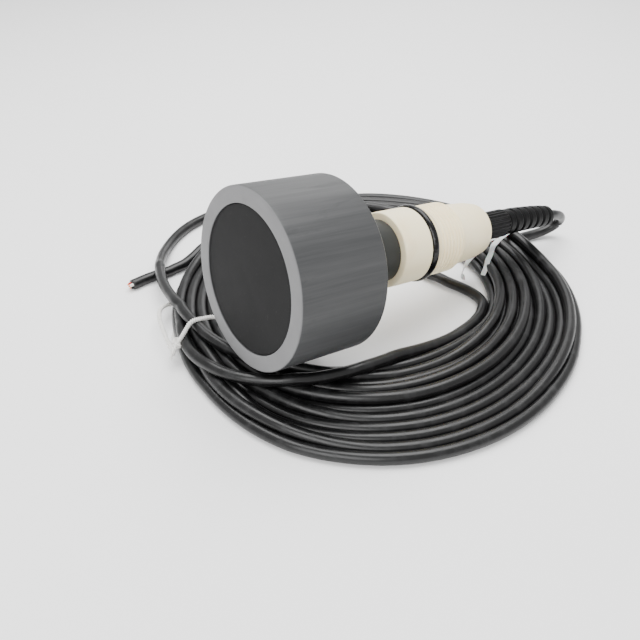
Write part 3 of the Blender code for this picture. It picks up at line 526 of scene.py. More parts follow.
def srgb(red, green, blue):
    """Colour from display values of 0 to 255, as the shader wants it."""
    share = np.array([red, green, blue]) / 255
    linear = np.where(share <= 0.04045, share / 12.92, ((share + 0.055) / 1.055) ** 2.4)
    return (*[float(value) for value in linear], 1.0)


AXIS_TURN = (0.0, float(-np.arctan2(AXIS[0], AXIS[2])), 0.0)   # brings the sensor's axis onto Z

# %% [markdown]
# The cable's jacket is black PVC: nearly smooth, with a soft shine, a faint lengthwise ripple from the
# cores laid up inside, and dusty scuffs.  Its UV map runs along the cable, so scuffs and ripple follow
# it through every turn.

# %% Cable jacket
def make_jacket():
    made = Finish("cable_jacket", Specular_IOR_Level=0.42)
    along = made.uv_space((1, 0.35, 1))
    scuffs = made.ramp(made.noise(along, 90, 6, 0.62, 0.4), (0.5, 0), (0.78, 1))
    patches = made.noise(made.uv_space((1, 1, 1)), 14, 3)
    grain = made.noise(made.uv_space((1, 0.5, 1)), 900, 2)
    made.set(Base_Color=made.blend(scuffs * (0.2 + 0.5 * patches), srgb(12, 12, 12.5), srgb(50, 50, 51)),
             Roughness=0.25 + 0.12 * patches + 0.25 * scuffs)
    made.bump(0.6 * grain + 0.8 * made.noise(along, 60, 2), 0.00009)
    return made.material


jacket = make_jacket()

# %% [markdown]
# The settled points stand wider apart than a smooth cable needs, so a curve is drawn through them and a
# tube is swept along it.  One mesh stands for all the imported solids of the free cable.

# %% The cable itself
SIDES = 18
centreline = through(settled, 2.7 * MM)
length = float(np.linalg.norm(np.diff(centreline, axis=0), axis=1).sum())
travel = np.linspace(0, length, len(centreline))
ripple = 1 + 0.006 * np.sin(travel / (9 * MM)) * np.sin(travel / (31 * MM))
rings = with_caps(sweep(centreline, CABLE / 2 * ripple, SIDES))
girth = np.linspace(0, np.pi * CABLE, SIDES + 1)
lengths = np.r_[0, 0, travel, length, length, length]
cable_mesh = grid_mesh("cable", rings, around=False, measures=(lengths, girth))
cable = show("cable", cable_mesh, jacket, 1.2, weld=True)
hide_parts("cable_lead", "cable_outer_loop", "cable_coil", "cable_tail")
print(f"cable {length:.2f} m long, {len(rings)} rings")

# %% [markdown]
# A cut cable shows what it is made of.  The end that sticks out has three insulated cores standing a
# little proud of the jacket, each with its copper wires.  They are short capped tubes.

# %% Cores at the cut end
def plain_finish(name, colour, roughness, metallic=0.0, worn=None, scale=400.0, depth=0.00004,
                 stretch=(1, 1, 1)):
    """Finish with a fine grain that shows in colour, gloss and relief."""
    made = Finish(name, Metallic=metallic)
    where = made.object_space(AXIS_TURN, stretch)
    grain = made.noise(where, scale, 4, 0.6)
    broad = made.noise(where, scale / 14, 3)
    mask = made.ramp(0.55 * grain + 0.45 * broad, (0.36, 0), (0.66, 1))
    made.set(Base_Color=made.blend(mask, colour, worn or tuple(min(1.0, 1.5 * value) for value in colour)),
             Roughness=roughness - 0.08 + 0.18 * broad)
    made.bump(grain, depth)
    return made.material


copper = plain_finish("copper_wire", srgb(200, 120, 80), 0.35, 1.0)
core_finishes = {name: plain_finish(name, colour, 0.45) for name, colour in
                 (("wire_red", srgb(160, 34, 30)), ("wire_white", srgb(216, 214, 206)),
                  ("wire_black", srgb(30, 30, 32)))}
end_point = centreline[-1]
end_way = centreline[-1] - centreline[-3]
end_way /= np.linalg.norm(end_way)
end_side = np.cross(end_way, [0, 0, 1])
for number, (slot, finish) in enumerate(core_finishes.items()):
    angle = number * 2 * np.pi / 3 + 0.4
    centre = end_point + 1.75 * MM * (np.cos(angle) * end_side + np.sin(angle) * np.array([0, 0, 1]))
    reach = (2.1, 2.9, 1.6)[number] * MM
    for kind, radius, start, stop, look in (("insulation", 1.15, 0.35 * MM, reach, finish),
                                            ("conductor", 0.55, reach + 0.02 * MM, reach + 1.3 * MM, copper)):
        line = centre + np.linspace(start, stop, 6)[:, None] * end_way
        body = grid_mesh(kind, with_caps(sweep(line, radius * MM, 14)), around=False)
        piece = show(f"cut_{kind}_{number + 1}", body, look, weld=True)

# %% [markdown]
# Almost everything else on this sensor is turned on a lathe or moulded round, so its surface is an
# outline carried about the axis: radius and depth from the outline, angle from the turn.  Real corners
# are never perfectly sharp, and the thin light line on an edge is what makes a machined part look real,
# so each corner of an outline is cut into a small arc first.

# %% Outlines about the axis
def soft_outline(corners, softness, spacing=1.5, closed=True):
    """Outline with every corner replaced by an arc-like quadratic curve that starts and ends `softness` away
    from it (or a third of the side, if that is less), and its straight sides cut into steps; all in mm.
    A corner of no softness stays a plain point."""
    corners = np.asarray(corners, float)
    softness = np.broadcast_to(np.asarray(softness, float), len(corners))
    before, after = np.roll(corners, 1, 0) - corners, np.roll(corners, -1, 0) - corners
    size_before, size_after = np.linalg.norm(before, axis=1), np.linalg.norm(after, axis=1)
    cut = np.minimum(softness, np.minimum(size_before, size_after) / 3)
    start = corners + before * (cut / size_before)[:, None]
    stop = corners + after * (cut / size_after)[:, None]
    t = np.linspace(0, 1, 5)[:, None]
    pieces = []
    for number, corner in enumerate(corners):
        last = not closed and number == len(corners) - 1
        if cut[number] == 0 or not closed and number in (0, len(corners) - 1):
            pieces.append(corner[None])
        else:
            pieces.append((1 - t) ** 2 * start[number] + 2 * t * (1 - t) * corner + t ** 2 * stop[number])
        if not last:
            following = (number + 1) % len(corners)
            run = start[following] if closed or following < len(corners) - 1 else corners[following]
            here = pieces[-1][-1]
            steps = int(np.linalg.norm(run - here) / spacing)
            pieces.append(here + (run - here) * (np.arange(1, steps) / max(steps, 1))[:, None])
    return np.vstack(pieces)


def turned(name, corners, finish, softness=0.4, sides=128, closed=True, spacing=1.5, relief=None, sharp=0.6):
    """Piece turned about the axis from (depth, radius) corners in mm: point = place(radius, angle, depth).
    relief(angle, depth, radius) gives what is added to the radius, in mm."""
    outline = soft_outline(corners, softness, spacing, closed)
    angle = np.linspace(0, 2 * np.pi, sides, endpoint=False)[:, None]
    depth, radius = outline[None, :, 0], outline[None, :, 1]
    added = relief(angle, depth, radius) if relief else 0.0
    points = place((radius + added) * MM, angle, depth * MM)
    over = np.r_[0, np.cumsum(np.linalg.norm(np.diff(outline, axis=0), axis=1))] * MM
    around = np.linspace(0, 2 * np.pi, sides + 1) * outline[:, 1].max() * MM
    mesh = grid_mesh(name, points, section=closed, measures=(around, np.r_[over, over[-1]]))
    return show(name, mesh, finish, sharp, weld=not closed)


# %% [markdown]
# The head is a thick-walled cup of grey PVC, turned from bar, which keeps faint lengthwise streaks on its
# skin.
# So one noise is stretched along the axis for the streaks, and a much broader one shifts the whole grey in
# broad lengthwise bands of painted highlight and painted shade; a third adds darker scuffs.  The rim's front
# face gets a painted highlight: a mask that rises with the distance in front of the sensing face lightens it
# there.

# %% Grey PVC
def make_grey_pvc():
    made = Finish("grey_pvc", Specular_IOR_Level=0.28)
    along = made.object_space(AXIS_TURN, (1, 1, 0.03))
    streaks = made.noise(along, 420, 3, 0.6)
    # painted highlight and painted shade: these broad lengthwise bands of lighter and darker grey stand for
    # lit and shaded bands on the cup
    painted_light_bands = made.noise(along, 42, 3, 0.55)
    marks = made.ramp(made.noise(made.object_space(AXIS_TURN, (1, 1, 0.25)), 55, 5, 0.65, 0.5),
                      (0.56, 0), (0.7, 1))
    fine = made.noise(made.object_space(), 2600, 2)
    # tone mixes the real lathe streaks with the painted highlight and painted shade bands
    tone = made.ramp(0.3 * streaks + 0.7 * painted_light_bands, (0.32, 0), (0.68, 1))
    grey = made.blend(tone, srgb(45, 46, 47), srgb(75, 75.5, 76))
    grey = made.blend(marks * 0.45, grey, srgb(40, 41, 42))
    forward = made.add("ShaderNodeSeparateXYZ", {}, {"Vector": made.object_space(AXIS_TURN)}, 2)
    # painted highlight: the rim's front face is painted paler grey, for the light that falls on it from the
    # front
    painted_rim_light = made.ramp(forward * 500.0 + 0.5, (0.5, 0), (0.85, 1))
    grey = made.blend(painted_rim_light, grey, made.blend(painted_light_bands, srgb(94, 94, 95), srgb(122, 122, 123)))
    made.set(Base_Color=grey, Roughness=0.36 + 0.18 * painted_light_bands + 0.12 * marks)
    made.bump(0.6 * streaks + 0.4 * fine, 0.00005)
    return made.material


grey_pvc = make_grey_pvc()

# %% [markdown]
# The cup's outline runs once around its wall: out over the rim, back along the skin, across the chamfer
# and the shallow seat of the stub, and forward again along the inside.

# %% Head housing
SEAT_RADIUS, SEAT_DEPTH, BORE, WALL_INSIDE, STUB_HOLE = 21.0, 0.8, 44.0, 50.2, 15.3
CHAMFER = 1.2
head_back, head_radius, rim_depth = HEAD_BACK / MM, HEAD_RADIUS / MM, RIM_DEPTH / MM
head = turned("head_housing_shell",
              [(rim_depth, BORE), (rim_depth, head_radius), (head_back - CHAMFER, head_radius),
               (head_back, head_radius - CHAMFER), (head_back, SEAT_RADIUS),
               (head_back - SEAT_DEPTH, SEAT_RADIUS), (head_back - SEAT_DEPTH, STUB_HOLE),
               (WALL_INSIDE, STUB_HOLE), (WALL_INSIDE, BORE)],
              grey_pvc, [0.5, 1.1, 0.25, 0.25, 0.3, 0.2, 0.3, 0.3, 0.3], sides=192, spacing=2.4)
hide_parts("head_housing")

# %% [markdown]
# The sensing face is a dark flat disc just behind the rim.  It is a moulded resin: even, matt, with a
# faint mottle and a few dust specks.  A disc has a pole at its middle, so its outline starts and ends
# on the axis, and the doubled points there are merged.

# %% Sensing face
def make_dark_face():
    made = Finish("dark_face", Specular_IOR_Level=0.12)
    where = made.object_space()
    mottle = made.noise(where, 70, 5, 0.6)
    grain = made.noise(where, 1500, 3)
    specks = made.ramp(made.noise(where, 900, 2, 0.4), (0.7, 0), (0.78, 1))
    base = made.blend(mottle, srgb(19, 19, 19.5), srgb(25, 25, 25.5))
    made.set(Base_Color=made.blend(specks * 0.2, base, srgb(90, 90, 88)),
             Roughness=0.55 + 0.15 * mottle)
    made.bump(grain, 0.00005)
    return made.material


FACE_EDGE = FACE_RADIUS / MM
face = turned("sensing_disc", [(0.0, 0.0), (0.0, FACE_EDGE), (3.0, FACE_EDGE), (3.0, 0.0)], make_dark_face(),
              0.4, sides=160, closed=False, spacing=3.0)
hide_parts("radiating_face")
print("head and face made")

# %% [markdown]
# The dark stub is a plain moulded pipe that carries the wires from the head to the neck.  Its two
# spigots are hidden, but they are modelled, so that the piece is whole in other views and sections.

# %% Rear stub
def moulded(name, low, high, roughness=0.42, depth=0.00005, specular=0.5):
    """Moulded plastic: a broad soft mottle, faint flow marks along the axis, and a fine grain."""
    made = Finish(name, Specular_IOR_Level=specular)
    flow = made.noise(made.object_space(AXIS_TURN, (1, 1, 0.2)), 120, 4, 0.6, 0.3)
    mottle = made.noise(made.object_space(), 45, 3)
    grain = made.noise(made.object_space(), 1800, 2)
    made.set(Base_Color=made.blend(0.5 * flow + 0.5 * mottle, low, high),
             Roughness=roughness - 0.08 + 0.2 * flow)
    made.bump(0.7 * grain + 0.3 * flow, depth)
    return made.material


dark_pvc = moulded("dark_pvc", srgb(42, 43, 42), srgb(56, 57, 54), 0.5, specular=0.2)
front_end, spigot_end, stub_radius = STUB_FRONT / MM, STUB_BACK / MM, STUB_RADIUS / MM
PIPE_FRONT, PIPE_BACK = 58.7, 100.0                      # the stretch that shows between head and neck
FRONT_SPIGOT, REAR_SPIGOT, STUB_BORE = 15.0, 16.0, 12.0  # radii
GROOVE_FRONT, GROOVE_BACK, GROOVE_FLOOR = 104.7, 106.8, 14.2
stub = turned("stub", [(front_end, FRONT_SPIGOT), (PIPE_FRONT, FRONT_SPIGOT), (PIPE_FRONT, stub_radius),
                       (PIPE_BACK, stub_radius), (PIPE_BACK, REAR_SPIGOT), (GROOVE_FRONT, REAR_SPIGOT),
                       (GROOVE_FRONT, GROOVE_FLOOR), (GROOVE_BACK, GROOVE_FLOOR), (GROOVE_BACK, REAR_SPIGOT),
                       (spigot_end, REAR_SPIGOT), (spigot_end, STUB_BORE), (front_end, STUB_BORE)],
              dark_pvc, 0.3, sides=96, spacing=2.5)
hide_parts("rear_stub")

# %% [markdown]
# The ivory neck carries the mounting thread.  A thread is a ridge that moves along the axis by one pitch
# for each turn, so its height depends on depth minus pitch times angle over a full circle.  It fades in
# and out over half a turn, as a moulded thread does, and the grid is fine only along that stretch.

# %% Threaded neck
def make_ivory():
    made = Finish("ivory_plastic", Specular_IOR_Level=0.5, Subsurface_Weight=0.15, Subsurface_Scale=0.004)
    made.shader.inputs["Subsurface Radius"].default_value = (1.0, 0.75, 0.5)
    mottle = made.noise(made.object_space(), 38, 4, 0.6)
    flow = made.noise(made.object_space(AXIS_TURN, (1, 1, 0.15)), 150, 3, 0.6)
    stain = made.ramp(made.noise(made.object_space(), 24, 5, 0.7, 0.6), (0.56, 0), (0.74, 1))
    grain = made.noise(made.object_space(), 1600, 2)
    base = made.blend(mottle, srgb(249, 231, 188), srgb(253, 241, 208))
    made.set(Base_Color=made.blend(stain * 0.4, base, srgb(236, 208, 150)),
             Roughness=0.36 + 0.16 * mottle + 0.1 * stain)
    made.bump(0.6 * grain + 0.4 * flow, 0.00005)
    return made.material


THREAD_FRONT, THREAD_BACK, THREAD_ROOT, THREAD_DEPTH, PITCH = 130.7, 156.2, 22.5, 1.5, 3.0
ivory = make_ivory()


def thread_ridge(angle, depth, radius):
    """Added radius of the thread: a rounded ridge repeated each pitch, set back by pitch * angle / full turn,
    faded at both ends; only outside points of the threaded stretch move."""
    phase = (depth - THREAD_FRONT) / PITCH - angle / (2 * np.pi)
    ridge = 0.5 + 0.5 * np.cos(2 * np.pi * phase)
    shape = np.clip(1.45 * ridge - 0.12, 0, 1)
    fade_in = np.clip((depth - THREAD_FRONT - 0.4) / 1.6, 0, 1)
    fade_out = np.clip((THREAD_BACK - 0.4 - depth) / 1.6, 0, 1)
    return np.where(np.abs(radius - THREAD_ROOT) < 0.05, THREAD_DEPTH * shape * fade_in * fade_out, 0.0)


neck_front, neck_back, collar = NECK_FRONT / MM, NECK_BACK / MM, COLLAR_RADIUS / MM
COLLAR_BACK, RING_SEAT = 123.8, 20.5                     # where the O-ring's seat starts, and its radius
BOARD_BORE, BOARD_BORE_FRONT, BOARD_BORE_BACK, SPIGOT_BORE, GLAND_BORE = 14.0, 111.8, 170.9, 16.3, 8.0
thread_rows = [(depth, THREAD_ROOT) for depth in np.arange(THREAD_FRONT + 0.25, THREAD_BACK - 0.1, 0.25)]
tail_mid = THREAD_BACK + 0.7 * (neck_back - THREAD_BACK)
neck_corners = [(neck_front, collar - 0.6), (neck_front + 0.6, collar), (COLLAR_BACK, collar),
                (COLLAR_BACK, RING_SEAT), (THREAD_FRONT, RING_SEAT), *thread_rows,
                (THREAD_BACK, THREAD_ROOT + 0.4), (THREAD_BACK, 21.6), (tail_mid, 20.05),
                (neck_back - 2.5, 18.5), (neck_back - 1.5, 18.3), (neck_back - 0.75, 17.75),
                (neck_back - 0.2, 16.9), (neck_back, 16.0), (neck_back, GLAND_BORE),
                (BOARD_BORE_BACK, GLAND_BORE), (BOARD_BORE_BACK, BOARD_BORE), (BOARD_BORE_FRONT, BOARD_BORE),
                (BOARD_BORE_FRONT, SPIGOT_BORE), (neck_front, SPIGOT_BORE)]
on_thread = [abs(radius - THREAD_ROOT) < 0.05 for _, radius in neck_corners]
neck = turned("neck", neck_corners, ivory, np.where(on_thread, 0.0, 0.35), sides=240, spacing=2.2,
              relief=thread_ridge, sharp=0.8)
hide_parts("threaded_neck")
print("neck has", len(neck.data.polygons), "faces")

# %% [markdown]
# The glossy black O-ring behind the collar seals the neck against a panel.  Its section is a circle, and
# the few bright specks on it are dust and flash, so its gloss varies in small spots.

# %% Neck O-ring
def rubber(name, low, high, roughness, grain_scale=1200, depth=0.00004, specular=0.5):
    """Black rubber or soft plastic with fine grain and scattered dust."""
    made = Finish(name, Specular_IOR_Level=specular)
    where = made.object_space(AXIS_TURN)
    grain = made.noise(where, grain_scale, 3)
    broad = made.noise(where, 60, 4)
    dust = made.ramp(made.noise(where, 500, 3, 0.6), (0.6, 0), (0.72, 1))
    made.set(Base_Color=made.blend(dust * (0.2 + 0.5 * broad), low, high),
             Roughness=roughness + 0.2 * dust * broad)
    made.bump(grain, depth)
    return made.material


black_rubber = rubber("black_rubber", srgb(7, 7, 7.5), srgb(90, 90, 90), 0.16, specular=0.3)
RING_DEPTH, RING_RADIUS, RING_SECTION = 127.3, 23.4, 2.6
circle = np.linspace(0, 2 * np.pi, 24, endpoint=False)
ring_corners = np.stack([RING_DEPTH + RING_SECTION * np.cos(circle),
                         RING_RADIUS + RING_SECTION * np.sin(circle)], 1)
seal_ring = turned("seal_ring", ring_corners, black_rubber, 0.01, sides=144, sharp=3.0)
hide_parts("neck_o_ring")

# %% [markdown]
# The gland nut clamps the cable.  Fingers turn it, so it has fine lengthwise knurls: its radius rises and
# falls around it as a rounded wave, which fades at both chamfered ends.

# %% Gland nut
def knurls(angle, depth, radius):
    """Added radius of the knurls: 0.55 mm less in each of 24 narrow valleys, none near the ends."""
    wave = np.clip(1.5 * (0.5 - 0.5 * np.cos(24 * angle)) - 0.25, 0, 1)
    inside = np.clip((depth - nut_front - 1.4) / 0.8, 0, 1) * np.clip((nut_back - 1.4 - depth) / 0.8, 0, 1)
    return np.where(radius > nut_radius - 0.1, -0.55 * (1 - wave) * inside, 0.0)


nut_front, nut_back, nut_radius = NUT_FRONT / MM, NUT_BACK / MM, NUT_RADIUS / MM
nylon = rubber("gland_nylon", srgb(11, 11, 11.5), srgb(50, 50, 52), 0.42, 900, specular=0.14)
nut = turned("clamping_nut",
             [(nut_front, 8.0), (nut_front, nut_radius - 1.0), (nut_front + 1.2, nut_radius),
              (nut_front + 2.2, nut_radius), (nut_back - 2.2, nut_radius), (nut_back - 1.2, nut_radius),
              (nut_back, nut_radius - 1.0), (nut_back, 4.2), (nut_back - 3.0, 4.2), (nut_back - 3.0, 8.0)],
             nylon, 0.3, sides=24 * 12, spacing=1.2, relief=knurls, sharp=0.9)
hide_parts("gland_nut")

# %% [markdown]
# The bend relief is soft rubber.  Its rings let it bend, and it sags a little under the lead.  So its
# surface is a radius that steps in at each groove, carried along a centre line that droops with the
# square of the way along.

# %% Bend relief
RELIEF_LENGTH, RELIEF_DROOP, RELIEF_RINGS = 55.0, 3.0, 5


def make_relief():
    """Rings of points: radius = taper + rings; the centre is lowered by droop * (way / length) squared."""
    way = np.r_[0, 0.25, 0.7, np.arange(1.2, 54.2, 0.4), 54.3, 54.7, 54.95, 55.0]
    pitch = 0.76 * RELIEF_LENGTH / RELIEF_RINGS
    phase = (way - 0.12 * RELIEF_LENGTH) / pitch
    ringed = np.clip((phase + 0.15) / 0.15, 0, 1) * np.clip((RELIEF_RINGS + 0.25 - phase) / 0.1, 0, 1)
    swing = 0.5 + 0.5 * np.cos(2 * np.pi * (phase - 0.56))
    groove = np.clip(1.35 - 4.5 * swing, 0, 1)
    radius = 9.6 - 1.6 * way / RELIEF_LENGTH + ringed * (0.25 - 1.35 * groove)
    radius -= 0.7 * np.clip(1 - way / 0.7, 0, 1) ** 2 + 0.9 * np.clip((way - 54.0), 0, 1) ** 2
    down = RELIEF_DROOP * (way / RELIEF_LENGTH) ** 2
    depth = RELIEF_FRONT + way * MM
    outer, inner = np.stack([way, radius], 1), np.stack([way[::-1], np.full(len(way), 4.4)], 1)
    section = np.vstack([outer, inner])
    down = np.r_[down, down[::-1]]
    depth = np.r_[depth, depth[::-1]]
    angle = np.linspace(0, 2 * np.pi, 96, endpoint=False)[:, None]
    points = place(section[None, :, 1] * MM, angle, depth[None]) - (down * MM)[None, :, None] * ABOVE
    over = np.r_[0, np.cumsum(np.linalg.norm(np.diff(section, axis=0), axis=1))] * MM
    around = np.linspace(0, 2 * np.pi * 9 * MM, 97)
    return grid_mesh("bend_sleeve", points, measures=(around, np.r_[over, over[-1]]))


relief_rubber = rubber("relief_rubber", srgb(8, 8, 8.5), srgb(30, 30, 32), 0.42, 800, 0.00006, 0.1)
sleeve = show("bend_sleeve", make_relief(), relief_rubber, 0.9)
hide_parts("bend_relief")
print("neck, ring, nut and bend sleeve made")

# %% [markdown]
# Two ties hold the coil.  Each is a loop drawn tight around all the strands at one place, so its path is
# found from the settled cable: the strands that cross the tie's plane are circles there, and a tight
# string around circles follows their support function, the furthest reach in every direction.

# %% Where the ties go round
def strands_at(degrees, near=45.0, far=175.0):
    """Where the cable crosses the upright plane at an angle about the coil: (distance out, height) rows."""
    way = np.array([np.cos(np.radians(degrees)), np.sin(np.radians(degrees))])
    flat = centreline[:, :2] - COIL_CENTRE
    off = flat @ np.array([-way[1], way[0]])
    cross = np.nonzero(off[:-1] * off[1:] < 0)[0]
    share = off[cross] / (off[cross] - off[cross + 1])
    points = centreline[cross] + share[:, None] * (centreline[cross + 1] - centreline[cross])
    out = (points[:, :2] - COIL_CENTRE) @ way
    keep = (out > near * MM) & (out < far * MM)
    return np.stack([out[keep], points[keep, 2]], 1)


def around_strands(degrees, thickness, drift=None, near=45.0, points=240):
    """Closed path of a tie: in every direction of the plane, the strand that reaches furthest, moved out by
    its radius and half the tie's thickness; straight between strands; never below the floor.  drift gives,
    for shares of the way round from the inner side over the top, how many degrees the tie strays from its
    plane; there it no longer follows the strands exactly."""
    strands = strands_at(degrees, near)
    angle = np.linspace(0, 2 * np.pi, 1440, endpoint=False)
    ways = np.stack([np.cos(angle), np.sin(angle)], 1)
    best = strands[np.argmax(strands @ ways.T, axis=0)]
    reach = CABLE / 2 + thickness / 2 + 0.15 * MM
    loop = best + reach * ways
    loop[:, 1] = np.maximum(loop[:, 1], FLOOR + thickness / 2 + 0.1 * MM)
    loop = np.roll(loop, -720, axis=0)[::-1]
    closed = np.vstack([loop, loop[:1]])
    along = np.r_[0, np.cumsum(np.linalg.norm(np.diff(closed, axis=0), axis=1))]
    stops = np.linspace(0, along[-1], points, endpoint=False)
    out, up = (np.interp(stops, along, closed[:, axis]) for axis in range(2))
    way = np.full(points, float(degrees))
    if drift is not None:
        way += np.interp(stops / along[-1], *np.transpose(drift), period=1)
        for _ in range(24):
            way = (np.roll(way, 1) + 2 * way + np.roll(way, -1)) / 4
        edges = WINDING_WIDTH[:, [0, 2]].T
        wider = np.interp(way, *edges, period=360) - np.interp(degrees, *edges, period=360)
        out = out + wider * MM * np.clip((out - out.min()) / np.ptp(out), 0, 1)
    x = COIL_CENTRE[0] + out * np.cos(np.radians(way))
    y = COIL_CENTRE[1] + out * np.sin(np.radians(way))
    return np.stack([x, y, up], 1)


def beside(out, up, degrees):
    """Point at a distance out from the coil's centre, a height above the floor and an angle; mm, degrees."""
    way = np.radians(degrees)
    return (COIL_CENTRE[0] + out * MM * np.cos(way), COIL_CENTRE[1] + out * MM * np.sin(way), FLOOR + up * MM)


left_loop = around_strands(TIE_ANGLES["tie_left"], 2.2 * MM,
                           [(0, 0), (0.25, 1), (0.45, 5.5), (0.5, 6), (0.6, -9), (0.64, -9.5), (0.8, -3)])
right_loop = around_strands(TIE_ANGLES["tie_right"], 1.0 * MM,
                            [(0, -10), (0.05, -8), (0.1, -4.5), (0.2, 2.5), (0.28, 5), (0.42, 7), (0.5, 7),
                             (0.8, 0), (0.93, -8)], near=72.0)
print("strands under the ties:", [len(strands_at(angle)) for angle in TIE_ANGLES.values()])

# %% [markdown]
# The left tie is white cotton twine, three yarns twisted together.  Each yarn is a thin tube that winds
# about the path, a third of a turn apart.  Its fibres show as a fine slanting grain, and the ends of the
# knot fray into loose fibres.

# %% Twine
def make_twine_finish():
    made = Finish("cotton_twine", Specular_IOR_Level=0.25, Sheen_Weight=0.3, Sheen_Roughness=0.5)
    fibres = made.noise(made.uv_space((0.25, 1, 1)), 5200, 3, 0.7)
    soil = made.noise(made.object_space(), 160, 4)
    made.set(Base_Color=made.blend(fibres * (0.3 + 0.7 * soil), srgb(250, 249, 245), srgb(176, 173, 166)),
             Roughness=0.78 + 0.15 * fibres)
    made.bump(fibres, 0.00025)
    return made.material


def twisted(path, radius, turns, closed, start=0.0, sides=9):
    """Three yarns about a path: yarn k's centre is the path plus an arm of half the radius that turns evenly
    with the way along, a third of a turn after yarn k - 1.  Returns one grid of rings for each yarn."""
    count = len(path)
    ahead = (np.roll(path, -1, 0) - np.roll(path, 1, 0)) if closed else np.gradient(path, axis=0)
    ahead /= np.linalg.norm(ahead, axis=1)[:, None]
    fixed = np.array([0.31, 0.95, 0.02])
    side = np.cross(ahead, fixed)
    side /= np.linalg.norm(side, axis=1)[:, None]
    top = np.cross(side, ahead)
    share = np.arange(count) / (count if closed else count - 1)
    grids = []
    for yarn in range(3):
        angle = start + 2 * np.pi * (turns * share + yarn / 3)
        centre = path + 0.5 * radius * (np.cos(angle)[:, None] * side + np.sin(angle)[:, None] * top)
        ring = np.linspace(0, 2 * np.pi, sides, endpoint=False)
        swell = 0.56 * radius * (1 + 0.06 * np.sin(17 * angle))
        grids.append(centre[:, None] + swell[:, None, None] * (np.cos(ring)[None, :, None] * side[:, None]
                                                               + np.sin(ring)[None, :, None] * top[:, None]))
    return grids


def join(name, meshes, finish, sharp=1.2):
    """One object from several meshes of the same finish."""
    shape = bmesh.new()
    for mesh in meshes:
        shape.from_mesh(mesh)
        bpy.data.meshes.remove(mesh)
    bmesh.ops.remove_doubles(shape, verts=shape.verts, dist=1e-7)
    whole = bpy.data.meshes.new(name)
    shape.to_mesh(whole)
    shape.free()
    return show(name, whole, finish, sharp)


def yarn_meshes(grids, closed, radius):
    """A mesh for each yarn; an open yarn is capped at both ends."""
    made = []
    for grid in grids:
        middles = grid.mean(1)
        rings = grid if closed else with_caps(grid)
        along = np.r_[0, np.cumsum(np.linalg.norm(np.diff(middles, axis=0), axis=1))]
        if closed:
            along = np.r_[along, 2 * along[-1] - along[-2]]
        else:
            along = np.r_[0, 0, along, along[-1], along[-1], 0]
        over = np.linspace(0, 2 * np.pi * radius, grid.shape[1] + 1)
        made.append(grid_mesh("yarn", rings, around=closed, measures=(along, over)))
    return made


TWINE = 1.5 * MM
twine_meshes = yarn_meshes(twisted(left_loop, TWINE, 34, True), True, TWINE)
loop_angle, loop_reach = about_coil(left_loop)
outer_side = (loop_angle < 355) & (loop_reach >= 0.14)
knot_at = left_loop[np.argmax(np.where(outer_side, loop_angle, 0))]
ties_finish = make_twine_finish()
bow = np.linspace(0, 2 * np.pi, 60, endpoint=False)
tie_way = np.radians(TIE_ANGLES["tie_left"])
outward = np.array([np.cos(tie_way), np.sin(tie_way), 0.0])
sideways = np.array([-np.sin(tie_way), np.cos(tie_way), 0.0])
upward = np.array([0.0, 0.0, 1.0])
hitch = (knot_at + 1.0 * MM * outward
         + 2.6 * MM * np.cos(2 * bow)[:, None] * sideways + 1.9 * MM * np.sin(bow)[:, None] * upward
         + 1.2 * MM * np.cos(3 * bow)[:, None] * outward)
hitch[:, 2] = np.maximum(hitch[:, 2], FLOOR + TWINE)
twine_meshes += yarn_meshes(twisted(hitch, TWINE, 9, True, sides=7), True, TWINE)
outer_limb = through([beside(149.5, 12, -9), beside(150.5, 13, -13), beside(151, 13, -18),
                      beside(152, 13, -23), beside(151.5, 12, -27.5), beside(148, 9, -31),
                      beside(142, 6, -33)], 0.7 * MM)
twine_meshes += yarn_meshes(twisted(outer_limb, TWINE, 12, False), False, TWINE)
for bend, reach in ((0.9, 7.0), (-0.5, 5.0)):
    t = np.linspace(0, 1, 22)[:, None]
    end = (knot_at + 1.6 * MM * outward + reach * MM * t * (0.55 * outward + bend * sideways)
           - 4.0 * MM * t ** 2 * upward + 0.8 * MM * np.sin(4 * t) * sideways)
    end[:, 2] = np.maximum(end[:, 2], FLOOR + TWINE)
    twine_meshes += yarn_meshes(twisted(end, TWINE * 0.95, reach / 5, False, sides=7), False, TWINE)
    fray = np.linspace(0, 1, 8)[:, None]
    for number in range(9):
        spread = number * 2.4
        tip = (end[-1] + 3.2 * MM * fray * (0.5 * outward + bend * sideways)
               + MM * fray ** 1.5 * (1.6 * np.cos(spread) * sideways + 1.3 * np.sin(spread) * upward
                                     + 1.1 * np.cos(1.7 * spread) * outward))
        tip[:, 2] = np.maximum(tip[:, 2], FLOOR + 0.3 * MM)
        twine_meshes.append(grid_mesh("fibre", with_caps(sweep(tip, 0.16 * MM, 5)), around=False,
                                      measures=(np.zeros(13), np.zeros(6))))
twine = join("twine_tie", twine_meshes, ties_finish)
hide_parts("tie_left")
print("twine tie has", len(twine.data.polygons), "faces")

# %% [markdown]
# The right tie is a flat strip of milky plastic.  It is wide and thin, creased, and lets some light
# through.  Its section is a flattened oval carried around the strands, and a second, slack limb of the
# same strip hangs down on the inner side.

# %% Plastic tape
def make_tape_finish():
    made = Finish("milky_tape", Specular_IOR_Level=0.5, Transmission_Weight=0.25, IOR=1.45,
                  Subsurface_Weight=0.2, Subsurface_Scale=0.002)
    creases = made.noise(made.uv_space((0.4, 1, 1)), 700, 4, 0.6, 0.4)
    cloud = made.noise(made.object_space(), 130, 3)
    made.set(Base_Color=made.blend(cloud, srgb(214, 216, 216), srgb(250, 251, 250)),
             Roughness=0.24 + 0.25 * creases)
    made.bump(creases, 0.0003)
    return made.material


